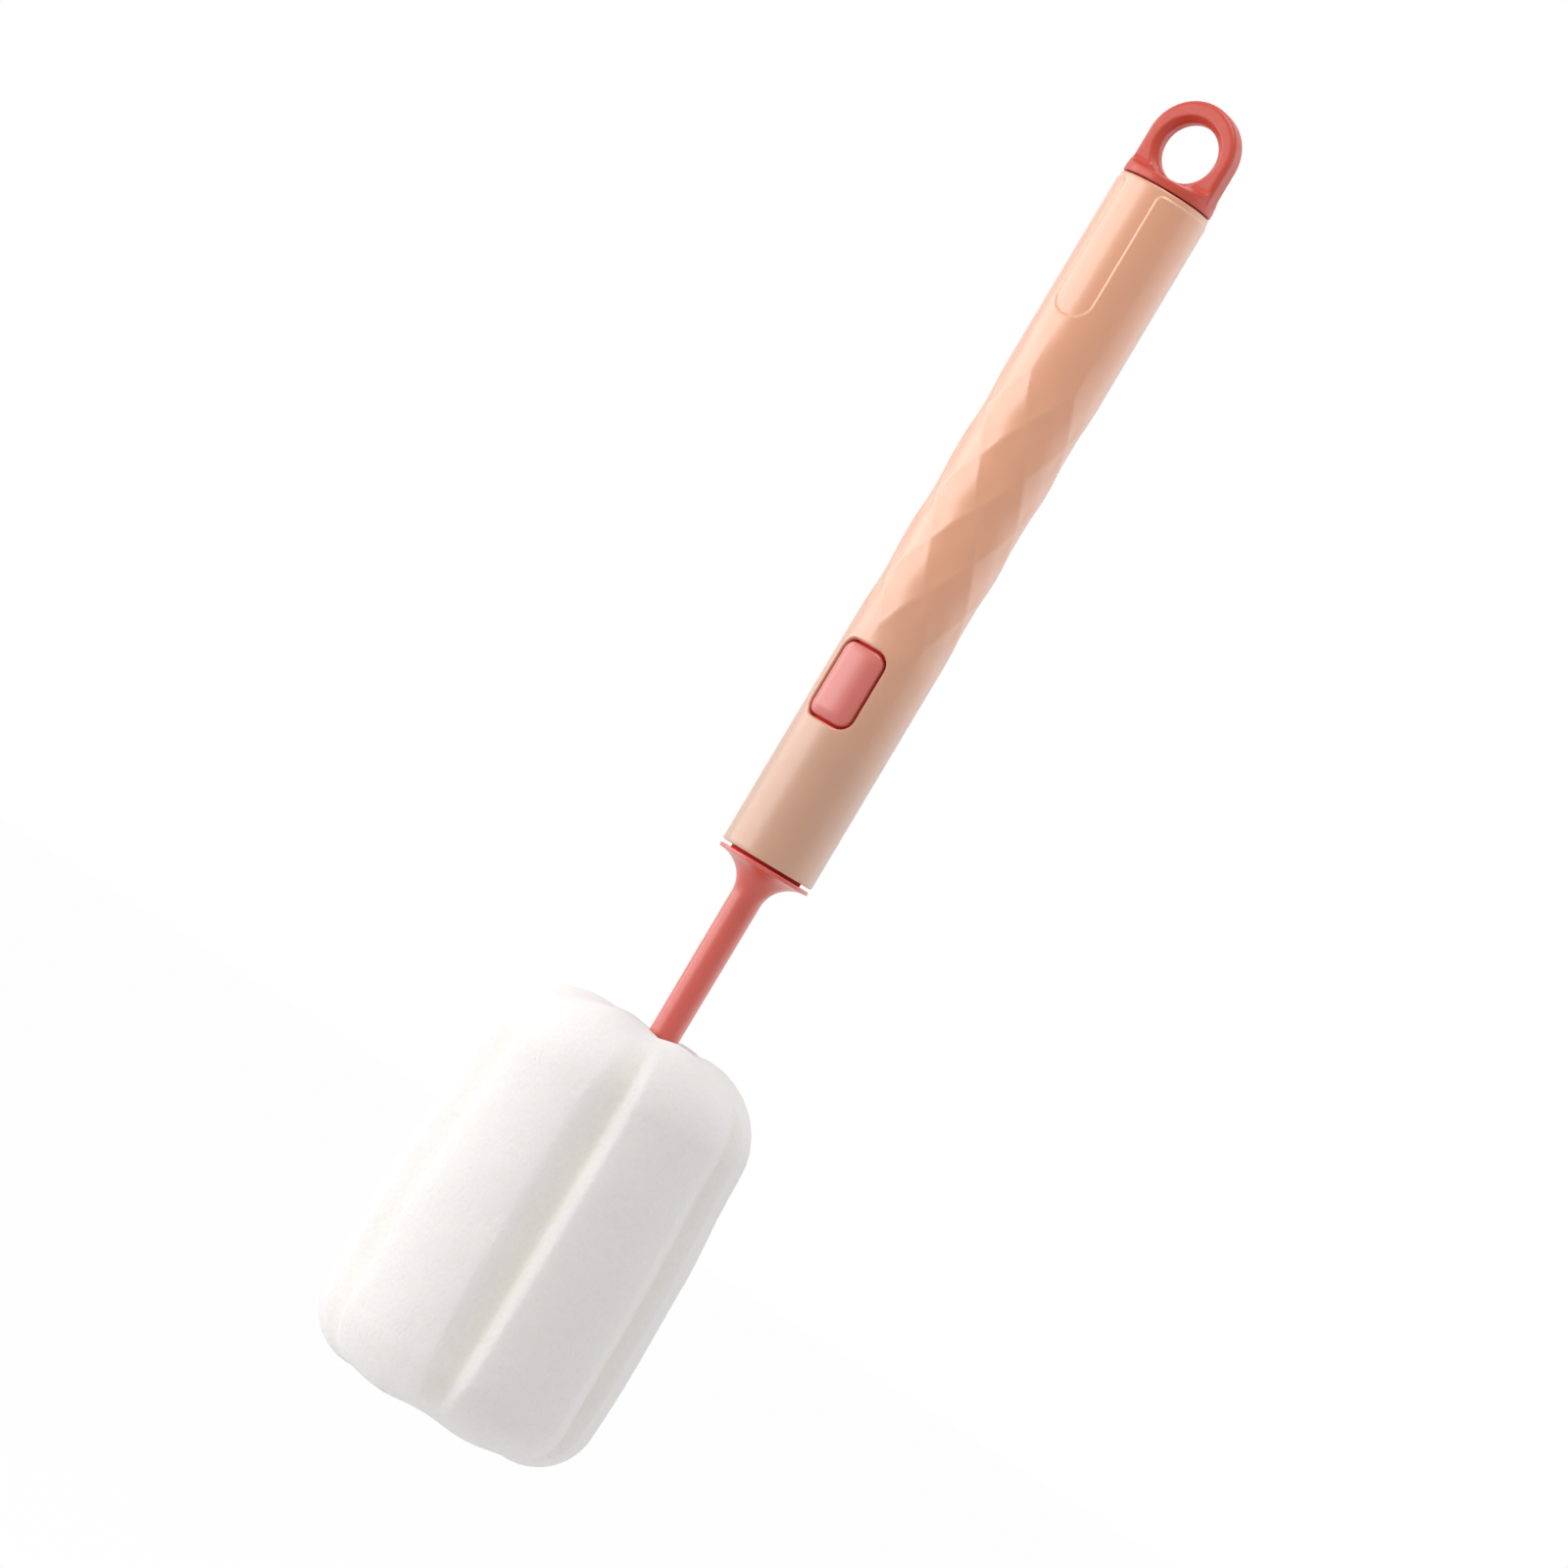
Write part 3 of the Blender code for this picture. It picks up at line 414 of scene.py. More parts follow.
def addPiece(name, points, faces, material, sharp=35):
    mesh = bpy.data.meshes.new(name)
    mesh.from_pydata([Vector(p) * mm for p in points], [], faces)
    work = bmesh.new()
    work.from_mesh(mesh)
    bmesh.ops.remove_doubles(work, verts=work.verts, dist=weld["points"] * mm)
    bmesh.ops.dissolve_degenerate(work, edges=work.edges, dist=weld["edges"] * mm)
    bmesh.ops.recalc_face_normals(work, faces=work.faces)
    work.to_mesh(mesh)
    work.free()
    mesh.materials.append(material)
    smooth(mesh, sharp)
    return addToScene(name, mesh)


def addMark(piece, name, rule):
    # a number on each point of a piece, from the point's place in mm
    values = [rule(*(vertex.co / mm)) for vertex in piece.data.vertices]
    mark = piece.data.attributes.new(name, "FLOAT", "POINT")
    mark.data.foreach_set("value", values)


def smooth(mesh, sharp=35):
    mesh.shade_smooth()
    mesh.set_sharp_from_angle(angle=radians(sharp))


def applyAll(piece):
    graph = bpy.context.evaluated_depsgraph_get()
    mesh = bpy.data.meshes.new_from_object(piece.evaluated_get(graph), depsgraph=graph)
    piece.modifiers.clear()
    piece.data = mesh
    smooth(mesh)


def combine(piece, other, operation):
    step = piece.modifiers.new(operation.lower(), "BOOLEAN")
    step.operation, step.solver, step.object = operation, "EXACT", other
    applyAll(piece)
    bpy.data.objects.remove(other)


def fit(piece, body, slot, *nodes):
    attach(piece, body)
    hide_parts(*nodes)
    print("made", piece.name, len(piece.data.polygons), "faces")


def softened(corners, steps=5):
    # rounds the corners (across, along, radius) of a line; its ends have no radius
    line = []
    for i, (a, b, radius) in enumerate(corners):
        here = Vector((a, b))
        if not radius:
            line.append((a, b))
            continue
        before = Vector(corners[i - 1][:2]) - here
        after = Vector(corners[i + 1][:2]) - here
        cut = radius / tan(before.angle(after) / 2)
        cut = min(cut, 0.48 * before.length, 0.48 * after.length)
        start, end = here + before.normalized() * cut, here + after.normalized() * cut
        for k in range(steps + 1):
            t = k / steps
            line.append(tuple(start * (1 - t) ** 2 + here * (2 * t * (1 - t)) + end * t * t))
    return line


def turned(profile, sides):
    # points and faces of a profile of (radius, height) turned about the upright axis
    points, faces, rings = [], [], []
    for radius, height in profile:
        if radius < 1e-6:
            rings.append([len(points)] * sides)
            points.append((0, 0, height))
            continue
        rings.append(list(range(len(points), len(points) + sides)))
        for i in range(sides):
            t = 2 * pi * i / sides
            points.append((radius * sin(t), -radius * cos(t), height))
    for upper, lower in zip(rings, rings[1:]):
        for i in range(sides):
            k = (i + 1) % sides
            face = []
            for index in (upper[i], upper[k], lower[k], lower[i]):
                if index not in face:
                    face.append(index)
            if len(face) > 2:
                faces.append(face)
    return points, faces


def roundLoop(half, low, high, corner, grow=0.0, spacing=0.5):
    # an upright rectangle with round corners, grown by a distance, as evenly spaced points
    x, r = half + grow, corner + grow
    low, high = low - grow, high + grow
    middles = ((x - r, high - r), (r - x, high - r), (r - x, low + r), (x - r, low + r))
    loop = []
    for i, (mx, mz) in enumerate(middles):
        steps = max(6, ceil(corner * 1.6 / spacing))
        for k in range(steps + 1):
            t = pi / 2 * (i + k / steps)
            loop.append((mx + r * cos(t), mz + r * sin(t)))
        nx, nz = middles[(i + 1) % 4]
        end = loop[-1]
        count = ceil(hypot(nx - mx, nz - mz) / spacing)
        for k in range(1, count):
            loop.append((end[0] + (nx - mx) * k / count, end[1] + (nz - mz) * k / count))
    return loop


def roundGap(a, b, half, low, high, corner):
    # distance from that rectangle's edge, below 0 inside it
    across = abs(a) - half + corner
    along = abs(b - (low + high) / 2) - (high - low) / 2 + corner
    return hypot(max(across, 0), max(along, 0)) + min(max(across, along), 0) - corner


def oblong(half, low, high):
    return [(half, low), (half, high), (-half, high), (-half, low)]


def easeStep(low, high, value):
    t = min(max((value - low) / (high - low), 0), 1)
    return t * t * (3 - 2 * t)


def quarterDrop(distance, radius):
    # how far a rounded edge lies below its surface, at a distance in from the edge
    if distance >= radius:
        return 0.0
    return radius - sqrt(radius**2 - (radius - max(distance, 0)) ** 2)


def dotField(left, right, low, high, spacing):
    dots, row, z = [], 0, low + spacing / 2
    while z < high - spacing / 4:
        a = left + spacing * (0.5 if row % 2 else 0.95)
        while a < right - spacing / 4:
            dots.append((a, z))
            a += spacing
        row += 1
        z += spacing * 0.866
    return dots


def stitched(lines, dots, inside, place):
    # triangulates lines and loose dots in a flat sheet, and puts each point in its place
    coords, edges = [], []
    for line, isLoop in lines:
        first = len(coords)
        coords += [Vector(p) for p in line]
        edges += [(first + i, first + i + 1) for i in range(len(line) - 1)]
        if isLoop:
            edges.append((first + len(line) - 1, first))
    coords += [Vector(p) for p in dots]
    flat, _, faces, *_ = delaunay_2d_cdt(coords, edges, [], 0, 1e-4)
    kept = [f for f in faces if inside(*(sum((flat[i] for i in f), Vector((0, 0))) / 3))]
    return [place(*p) for p in flat], kept


def gathered(parts):
    # points and faces of several parts as one list each
    points, faces = [], []
    for somePoints, someFaces in parts:
        shift = len(points)
        points += somePoints
        faces += [[i + shift for i in face] for face in someFaces]
    return points, faces


# the handle: a round tube with sunk collar and tab, diamond facets and the button's window
handle = {
    "radius": 10.1,
    "bore": 8.6,
    "top": -9.5,
    "seam": -9.2,
    "mouth": -162.0,
    "columns": 160,
    "facetTop": 43.7,  # down from the seam
    "facetHigh": 19.2,
    "facetRows": 3,
    "facetDepth": 0.32,
    "facetHollow": 1.15,  # power of a hollow's profile
    "facetFold": 5,  # higher for crisper folds through a hollow's middle
    "fadeAbove": 11.6,
    "fadeBelow": 5.0,
    "creaseUnit": 4.68,  # mm across a slanted crease for one half facet
    "creaseWide": 0.8,
    "collarHigh": 1.6,
    "tabLong": 31.0,
    "tabHalf": 4.5,
    "tabCorner": 4.2,
    "tabBlend": 1.6,
    "recess": 0.24,
    "stepWide": 0.27,
    "rubAndGlintWide": 0.5,  # of the paler band along edges: wear, and partly a painted highlight on the rounded rims
    "windowHalf": 5.93,  # round the tube's surface
    "windowLow": -132.6,
    "windowHigh": -115.2,
    "windowCorner": 3.1,
    "rimRound": 0.45,
    "rimLines": (0, 0.06, 0.16, 0.3, 0.5),
    "endRound": 0.35,
    "endLines": (0.05, 0.15, 0.35),
    "insideEdge": 0.3,  # slope at both ends of the bore
    "wallSteps": (0, 0.3, 0.7, 1),  # through the window's wall
    "insideFrom": 9.64,  # radius at which the painted gap shade begins
    "insideFull": 9.4,
    "insideEnds": (0.02, 0.4),  # in from the mouth and from the top
    "insideSpacing": 1.8,
    "coarse": 0.6,  # spacing of the mesh's points, and their room beside lines
    "coarseRoom": 0.26,
    "fine": 0.17,
    "fineRoom": 0.07,
    "fineReach": 0.45,  # to each side of the collar's and the tab's step
    "fineHalf": 7,
    "sideFine": 0.15,
}
windowShape = [handle["window" + side] for side in ("Half", "Low", "High", "Corner")]


def facetPlace(u, z):
    # (across, down) in half facets, across from the front and down from the facets' top points
    h = handle
    return u / h["radius"] / radians(30), (h["seam"] - h["facetTop"] - z) / (h["facetHigh"] / 2)


def facetSink(u, z):
    h = handle
    across, down = facetPlace(u, z)
    fade = 1.0
    if down < 0:
        fade = easeStep(0, 1, 1 + down * h["facetHigh"] / 2 / h["fadeAbove"])
    elif down > 2 * h["facetRows"]:
        fade = easeStep(0, 1, 1 - (down - 2 * h["facetRows"]) * h["facetHigh"] / 2 / h["fadeBelow"])
    down = min(max(down, 0.0), 2.0 * h["facetRows"])
    for odd in (0, 1):
        a = (across - odd + 1) % 2 - 1
        b = (down - 1 - odd + 1) % 2 - 1
        if abs(a) + abs(b) <= 1 + 1e-6:
            ridge = 2 * a * b * tanh(h["facetFold"] * a) * tanh(h["facetFold"] * b)
            return h["facetDepth"] * fade * (1 - (a * a + b * b + ridge) ** h["facetHollow"])
    return 0.0


def tabGap(u, z):
    h = handle
    tab = roundGap(u, z, h["tabHalf"], h["seam"] - h["tabLong"], h["seam"] + 20, h["tabCorner"])
    band = h["seam"] - h["collarHigh"] - z
    blend = h["tabBlend"]
    share = max(blend - abs(tab - band), 0) / blend
    return min(tab, band) - share * share * blend / 4


def windowGap(u, z):
    return roundGap(u, z, *windowShape)


def handleRadius(u, z):
    h = handle
    sink = facetSink(u, z)
    sink += h["recess"] * (1 - easeStep(-h["stepWide"], h["stepWide"], tabGap(u, z)))
    sink += quarterDrop(windowGap(u, z), h["rimRound"])
    sink += quarterDrop(h["top"] - z, h["endRound"]) + quarterDrop(z - h["mouth"], h["endRound"])
    return h["radius"] - sink


def creaseLines():
    # the facets' edges: slanted between the lattice's points, upright above and below them
    h = handle
    acrossUnit, downUnit = h["radius"] * radians(30), h["facetHigh"] / 2
    top = h["seam"] - h["facetTop"]
    lines, rows = [], 2 * h["facetRows"]
    for column in range(-6, 6):
        for row in range(rows):
            rising = (column + row) % 2
            ends = ((column, row + rising), (column + 1, row + 1 - rising))
            lines.append([(a * acrossUnit, top - b * downUnit) for a, b in ends])
        if column % 2 == 0 and column > -6:
            a = column * acrossUnit
            lines.append([(a, top + h["fadeAbove"]), (a, top)])
            lines.append([(a, top - rows * downUnit), (a, top - rows * downUnit - h["fadeBelow"])])
    return lines


def divided(line, spacing):
    (a, b), (c, d) = line
    count = ceil(hypot(c - a, d - b) / spacing)
    return [(a + (c - a) * i / count, b + (d - b) * i / count) for i in range(count + 1)]


def creaseGap(u, z):
    # distance in mm to the nearest slanted or upright crease
    across, down = facetPlace(u, z)
    if 0 <= down <= 2 * handle["facetRows"]:
        return min(abs((across + sign * down + 1) % 2 - 1) for sign in (1, -1)) * handle["creaseUnit"]
    return abs((across + 1) % 2 - 1) * handle["radius"] * radians(30)


def handlePoint(u, z):
    t, r = u / handle["radius"], handleRadius(u, z)
    drop = quarterDrop(windowGap(u, z), handle["rimRound"])
    return (r * sin(t), drop - r * cos(t), z)


def ringOf(radius, z, count):
    turns = [2 * pi * i / count - pi for i in range(count)]
    return [(radius * sin(t), -radius * cos(t), z) for t in turns]


def strip(rows):
    # quads between closed rows of points that have the same count
    points, faces, count = sum(rows, []), [], len(rows[0])
    for row in range(len(rows) - 1):
        upper, lower = row * count, (row + 1) * count
        for i in range(count):
            k = (i + 1) % count
            faces.append([upper + i, upper + k, lower + k, lower + i])
    return points, faces


def handleSkin():
    h = handle
    half = pi * h["radius"]
    columns = [half * (2 * i / h["columns"] - 1) for i in range(h["columns"] + 1)]
    ends = [h["top"], h["mouth"]]
    ends += [h["top"] - d for d in h["endLines"]] + [h["mouth"] + d for d in h["endLines"]]
    lines = [([(u, z) for u in columns], False) for z in ends]

    heights, z = [], h["top"]
    while z > h["mouth"] + 0.2:
        heights.append(z)
        z -= h["sideFine"] if z > h["seam"] - 2.8 else h["coarse"]
    heights.append(h["mouth"])
    lines += [([(side, z) for z in heights], False) for side in (-half, half)]
    lines += [(divided(line, h["coarse"]), False) for line in creaseLines()]
    lines += [(roundLoop(*windowShape, grow), True) for grow in h["rimLines"]]

    def free(u, z, room):
        if min(abs(z - end) for end in ends) < room or half - abs(u) < room:
            return False
        return windowGap(u, z) > h["rimLines"][-1] + room and creaseGap(u, z) > room

    # a wide field of points, and a fine one at the steps of the collar and the tab
    wide = dotField(-half, half, h["mouth"], h["top"], h["coarse"])
    dots = [p for p in wide if free(*p, h["coarseRoom"]) and abs(tabGap(*p)) > h["fineReach"] + 0.05]
    under = h["seam"] - 2 * h["collarHigh"]
    fine = dotField(-half, half, under, h["top"], h["fine"])
    fine += dotField(-h["fineHalf"], h["fineHalf"], h["seam"] - h["tabLong"] - 1, under, h["fine"])
    dots += [p for p in fine if free(*p, h["fineRoom"]) and abs(tabGap(*p)) < h["fineReach"]]
    return stitched(lines, dots, lambda u, z: windowGap(u, z) > 0, handlePoint)


def handleInside():
    h = handle
    bore, count, edge = h["bore"], h["columns"], h["insideEdge"]
    rim = [handlePoint(*p) for p in roundLoop(*windowShape)]
    depths = [-sqrt(bore**2 - x * x) for x, _, _ in rim]
    walls = [[(x, y + (d - y) * share, z) for (x, y, z), d in zip(rim, depths)] for share in h["wallSteps"]]

    low, high = h["mouth"] + edge, h["top"] - edge
    half = pi * bore
    around = [half * (2 * i / count - 1) for i in range(count + 1)]
    up = [low + (high - low) * i / 100 for i in range(101)]
    hole = [(bore * asin(x / bore), z) for x, _, z in rim]
    lines = [([(v, z) for v in around], False) for z in (low, high)]
    lines += [([(side, z) for z in up], False) for side in (-half, half)] + [(hole, True)]
    halfHole = max(v for v, _ in hole)

    def gap(v, z):
        return roundGap(v, z, halfHole, *windowShape[1:])

    def place(v, z):
        return (bore * sin(v / bore), -bore * cos(v / bore), z)

    dots = [p for p in dotField(-half, half, low, high, h["insideSpacing"]) if gap(*p) > 0.5]
    parts = [strip(walls), stitched(lines, dots, lambda v, z: gap(v, z) > 0, place)]
    for end, way in ((h["top"], -1), (h["mouth"], 1)):
        outer = handleRadius(pi * h["radius"], end)
        rows = [(outer, end), (bore + edge, end), (bore + edge * 0.3, end + way * edge * 0.3)]
        rows.append((bore, end + way * edge))
        parts.append(strip([ringOf(r, z, count) for r, z in rows]))
    return gathered(parts)


def addHandle():
    h = handle
    shell = addPiece("handleShell", *gathered([handleSkin(), handleInside()]), peach)
    facetTop = h["seam"] - h["facetTop"]
    facetLow = facetTop - h["facetRows"] * h["facetHigh"]

    def crease(x, y, z):
        if not facetLow < z < facetTop:
            return 0.0
        return 1 - easeStep(0, h["creaseWide"], creaseGap(h["radius"] * atan2(x, -y), z))

    # the paler rims: wear, and partly a painted highlight
    def rim(x, y, z):
        u = h["radius"] * atan2(x, -y)
        edge = min(abs(windowGap(u, z)), abs(tabGap(u, z)) + 0.1, z - h["mouth"])
        return 1 - easeStep(0, h["rubAndGlintWide"], edge)

    # the painted gap shade on the bore and the inner part of the window's wall
    def inside(x, y, z):
        if not h["mouth"] + h["insideEnds"][0] < z < h["top"] - h["insideEnds"][1]:
            return 0.0
        return 1 - easeStep(h["insideFull"], h["insideFrom"], hypot(x, y))

    addMark(shell, "crease", crease)
    addMark(shell, "rim", rim)
    addMark(shell, "inside", inside)
    fit(shell, "handle", "handle", "handle_tube")


# the cap: a round flange with a flat eye that blends up out of it
cap = {
    "eyeRadius": 9.8,
    "eyeRise": 0.9,
    "eyeTurn": 4.5,  # in degrees, towards +X
    "holeRadius": 6.25,
    "throatWide": 1.2,  # the hole's rounded edges
    "throatDeep": 1.3,
    "throatRound": 0.9,
    "thick": 4.8,
    "edgeRound": 1.0,
    "flangeRadius": 9.85,
    "flangeLow": -9.2,
    "flangeTop": -7.3,
    "flangeRounds": (0.45, 0.25),
    "blendHigh": 2.2,
    "plugRadius": 8.3,
    "plugBore": 6.3,
    "plugLow": -21.2,
    "plugRounds": (0.5, 0.3),
    "plugInto": 0.6,  # how far it goes up into the flange
    "plugRoof": 2.0,
    "voxel": 0.17,
    "polish": 7,
}


def slab(name, outline, low, high, axis, material, edgeRound=0.0):
    # a flat shape given thickness along one axis
    def spot(a, b, c):
        return (a, c, b) if axis == "Y" else (c, a, b) if axis == "X" else (a, b, c)

    count = len(outline)
    points = [spot(a, b, low) for a, b in outline] + [spot(a, b, high) for a, b in outline]
    faces = [list(range(count)), list(range(count, 2 * count))]
    faces += [[i, (i + 1) % count, (i + 1) % count + count, i + count] for i in range(count)]
    piece = addPiece(name, points, faces, material)
    if edgeRound:
        edge = piece.modifiers.new("edge", "BEVEL")
        edge.width, edge.segments = edgeRound * mm, 5
        edge.limit_method, edge.angle_limit = "ANGLE", radians(60)
        applyAll(piece)
    return piece


def addCap():
    c = cap
    half, top, low, edge = c["thick"] / 2, c["flangeTop"], c["flangeLow"], c["edgeRound"]
    wide, radius = c["eyeRadius"], c["flangeRadius"]
    turns = [pi * i / 90 for i in range(91)]
    arch = [(wide * cos(t), c["eyeRise"] + wide * sin(t)) for t in turns]
    arch += [(-wide, top - edge), (wide, top - edge)]
    eye = slab("hangEye", arch, -half, half, "Y", coral, edge)

    turns = [pi / 40 * i for i in range(21)]
    run = radius - half
    side = [(half + run * (1 - cos(t)), top + c["blendHigh"] * (1 - sin(t))) for t in turns]
    web = side + [(radius, top - edge), (-radius, top - edge)]
    web += [(-y, z) for y, z in side[::-1]]
    blend = slab("eyeBlend", web, -wide, wide, "X", coral)
    limit = [(0, 0), (radius - 0.1, 0), (radius - 0.1, low), (0, low)]
    combine(blend, addPiece("blendLimit", *turned(limit, 128), coral), "INTERSECT")
    combine(eye, blend, "UNION")
    upper, lower = c["flangeRounds"]
    ring = softened([(0, top, 0), (radius, top, upper), (radius, low, lower), (0, low, 0)])
    combine(eye, addPiece("capFlange", *turned(ring, 128), coral), "UNION")

    hole, clear = c["holeRadius"], half + 2
    mouth = [(0, clear, 0), (hole + 2, clear, 0), (hole + c["throatWide"], half, 0)]
    mouth.append((hole, half - c["throatDeep"], c["throatRound"]))
    throat = softened(mouth + [(r, -z, rounding) for r, z, rounding in mouth[::-1]])
    cutter = addPiece("eyeHole", *turned(throat, 96), coral)
    cutter.data.transform(Matrix.Rotation(pi / 2, 4, "X"))
    combine(eye, cutter, "DIFFERENCE")
    eye.data.transform(Matrix.Rotation(radians(c["eyeTurn"]), 4, "Z"))

    voxels = eye.modifiers.new("voxels", "REMESH")
    voxels.mode, voxels.voxel_size = "VOXEL", c["voxel"] * mm
    polish = eye.modifiers.new("polish", "SMOOTH")
    polish.factor, polish.iterations = 0.5, c["polish"]
    applyAll(eye)

    start, roof = low + c["plugInto"], low - c["plugRoof"]
    outer, inner = c["plugRounds"]
    plug = [(0, start, 0), (c["plugRadius"], start, 0), (c["plugRadius"], c["plugLow"], outer)]
    plug += [(c["plugBore"], c["plugLow"], inner), (c["plugBore"], roof, 0), (0, roof, 0)]
    combine(eye, addPiece("capPlug", *turned(softened(plug), 96), coral), "UNION")
    fit(eye, "handle", "coral", "hang_cap")


# the push button: pillowed top in the window, skirts and end tabs behind the wall
button = {
    "half": 5.0,
    "low": -132.0,
    "high": -115.8,
    "corner": 2.4,
    "rise": 0.16,  # over the handle's round in the middle
    "pillow": 0.34,
    "pillowWide": 2.2,
    "edgeRound": 0.55,
    "insets": (0, 0.05, 0.14, 0.28, 0.5, 0.85),
    "spacing": 0.45,
    "under": -7.7,  # the plate's underside
    "wallMiddle": -8.2,
    "skirt": 1.8,
    "skirtLow": -5.8,  # inner ends of the skirts and tabs
    "tab": 1.2,  # beyond the window's ends
    "tabInset": 0.3,
    "tabFront": -10.2,
    "tabRadius": 8.3,
    "insideRadius": 9.2,  # what lies within it takes the painted gap shade
    "reach": (-140, -110),  # past both ends
}


def buttonPoint(x, z):
    b = button
    inward = -roundGap(x, z, b["half"], b["low"], b["high"], b["corner"])
    drop = b["pillow"] * (1 - easeStep(0, b["pillowWide"], inward)) + quarterDrop(inward, b["edgeRound"])
    return (x, drop - b["rise"] - sqrt(handle["radius"] ** 2 - x * x), z)


def addButton():
    b = button
    rim = (b["half"], b["low"], b["high"], b["corner"])

    def within(x, z):
        return roundGap(x, z, *rim) < 0

    loops = [(roundLoop(*rim, -inset, 0.35), True) for inset in b["insets"]]
    dots = dotField(-b["half"], b["half"], b["low"], b["high"], b["spacing"])
    dots = [p for p in dots if roundGap(*p, *rim) < -0.25 - b["insets"][-1]]
    top = stitched(loops, dots, within, buttonPoint)

    edge = [buttonPoint(*p) for p in loops[0][0]]
    walls = strip([edge] + [[(x, y, z) for x, _, z in edge] for y in (b["wallMiddle"], b["skirtLow"])])
    base = stitched(loops[:1], [], within, lambda x, z: (x, b["skirtLow"], z))
    piece = addPiece("thumbButton", *gathered([top, walls, base]), buttonPink)

    over = b["tab"] + 0.6
    ends = oblong(b["half"] - b["tabInset"], b["low"] - over, b["high"] + over)
    tabs = slab("buttonTabs", ends, b["tabFront"], b["skirtLow"] - 0.03, "Y", buttonPink)
    low, high = b["reach"]
    bore = [(0, high), (b["tabRadius"], high), (b["tabRadius"], low), (0, low)]
    combine(tabs, addPiece("tabRound", *turned(bore, 128), buttonPink), "INTERSECT")
    combine(piece, tabs, "UNION")
    channel = oblong(b["half"] - b["skirt"], low, high)
    combine(piece, slab("buttonHollow", channel, b["under"], 1, "Y", buttonPink), "DIFFERENCE")
    # the painted gap shade on the button's sides, skirts and tabs
    addMark(piece, "inside", lambda x, y, z: float(hypot(x, y) < b["insideRadius"]))
    fit(piece, "button", "button", "push_button")


# the neck: a disc under the mouth, its flare, the slim stem, and a plug in the sliding tube
neck = {
    "top": -161.6,
    "collarRadius": 7.8,
    "discTop": -162.7,
    "discRadius": 9.95,
    "discThick": 0.8,
    "flareHigh": 6.4,
    "stemRadius": 3.25,
    "endRadius": 3.15,
    "stemEnd": -202.0,
    "tenonRadius": 2.1,
    "tenonLong": 11.0,
    "plugRadius": 5.8,
    "plugFlat": 2.7,
    "plugLong": 14.0,
    "plugInto": 0.2,  # overlap with the collar
    "rounds": {"collar": 0.1, "discTop": 0.18, "discLow": 0.14, "stem": 0.3, "tenon": 0.4},
}
tube = {
    "radius": 7.3,
    "flat": 4.2,
    "wall": 1.2,
    "low": -161.3,
    "high": -29.5,
    "edgeRound": 0.25,
}


def flatRound(radius, flat, count=96):
    # a circle with a flat at y = -flat, the same count of points on it whatever its size
    start = asin(flat / radius)
    loop = []
    for i in range(count):
        t = -start + (pi + 2 * start) * i / (count - 1)
        loop.append((radius * cos(t), radius * sin(t)))
    side = loop[-1][0]
    return loop + [(side - 2 * side * i / 24, -flat) for i in range(1, 24)]


def addNeck():
    n = neck
    rounds = n["rounds"]
    flareTop = n["discTop"] - n["discThick"]
    line = [(0, n["top"], 0), (n["collarRadius"], n["top"], rounds["collar"])]
    line += [(n["collarRadius"], n["discTop"], 0), (n["discRadius"], n["discTop"], rounds["discTop"])]
    line.append((n["discRadius"], flareTop, rounds["discLow"]))
    for i in range(1, 41):
        t = pi / 2 * i / 40
        r = n["stemRadius"] + (n["discRadius"] - n["stemRadius"]) * (1 - sin(t))
        line.append((r, flareTop - n["flareHigh"] * (1 - cos(t)), 0))
    low = flareTop - n["flareHigh"]
    for i in range(1, 30):
        share = i / 30
        r = n["stemRadius"] + (n["endRadius"] - n["stemRadius"]) * share
        line.append((r, low + (n["stemEnd"] - low) * share, 0))
    tip = n["stemEnd"] - n["tenonLong"]
    line += [(n["endRadius"], n["stemEnd"], rounds["stem"]), (n["tenonRadius"], n["stemEnd"], 0)]
    line += [(n["tenonRadius"], tip, rounds["tenon"]), (0, tip, 0)]
    piece = addPiece("neckStem", *turned(softened(line, 4), 128), coralGloss)

    outline = flatRound(n["plugRadius"], n["plugFlat"])
    start, end = n["top"] - n["plugInto"], n["top"] + n["plugLong"]
    combine(piece, slab("neckPlug", outline, start, end, "Z", coralGloss), "UNION")

    # the painted gap shade on the collar under the mouth
    def collar(x, y, z):
        return float(z > n["discTop"] - 0.01 and hypot(x, y) < n["collarRadius"] + 0.01)

    addMark(piece, "inside", collar)
    fit(piece, "extension", "coral", "neck_stem")


def addTube():
    t = tube
    low, high, wall, edge, steps = t["low"], t["high"], t["wall"], t["edgeRound"], 60
    nick = 0.28 * edge
    # rows of (inset, height): up the outside and down the bore
    rows = [(wall, low), (edge, low), (nick, low + nick), (0, low + edge)]
    rows += [(0, low + edge + (high - low - 2 * edge) * i / steps) for i in range(1, steps + 1)]
    rows += [(nick, high - nick), (edge, high), (wall, high)]
    rows += [(wall, high + (low - high) * i / steps) for i in range(1, steps + 1)]
    loops = [[(x, y, z) for x, y in flatRound(t["radius"] - inset, t["flat"] - inset)] for inset, z in rows]
    piece = addPiece("slideTube", *strip(loops), coral)
    fit(piece, "extension", "coral", "extension_tube")


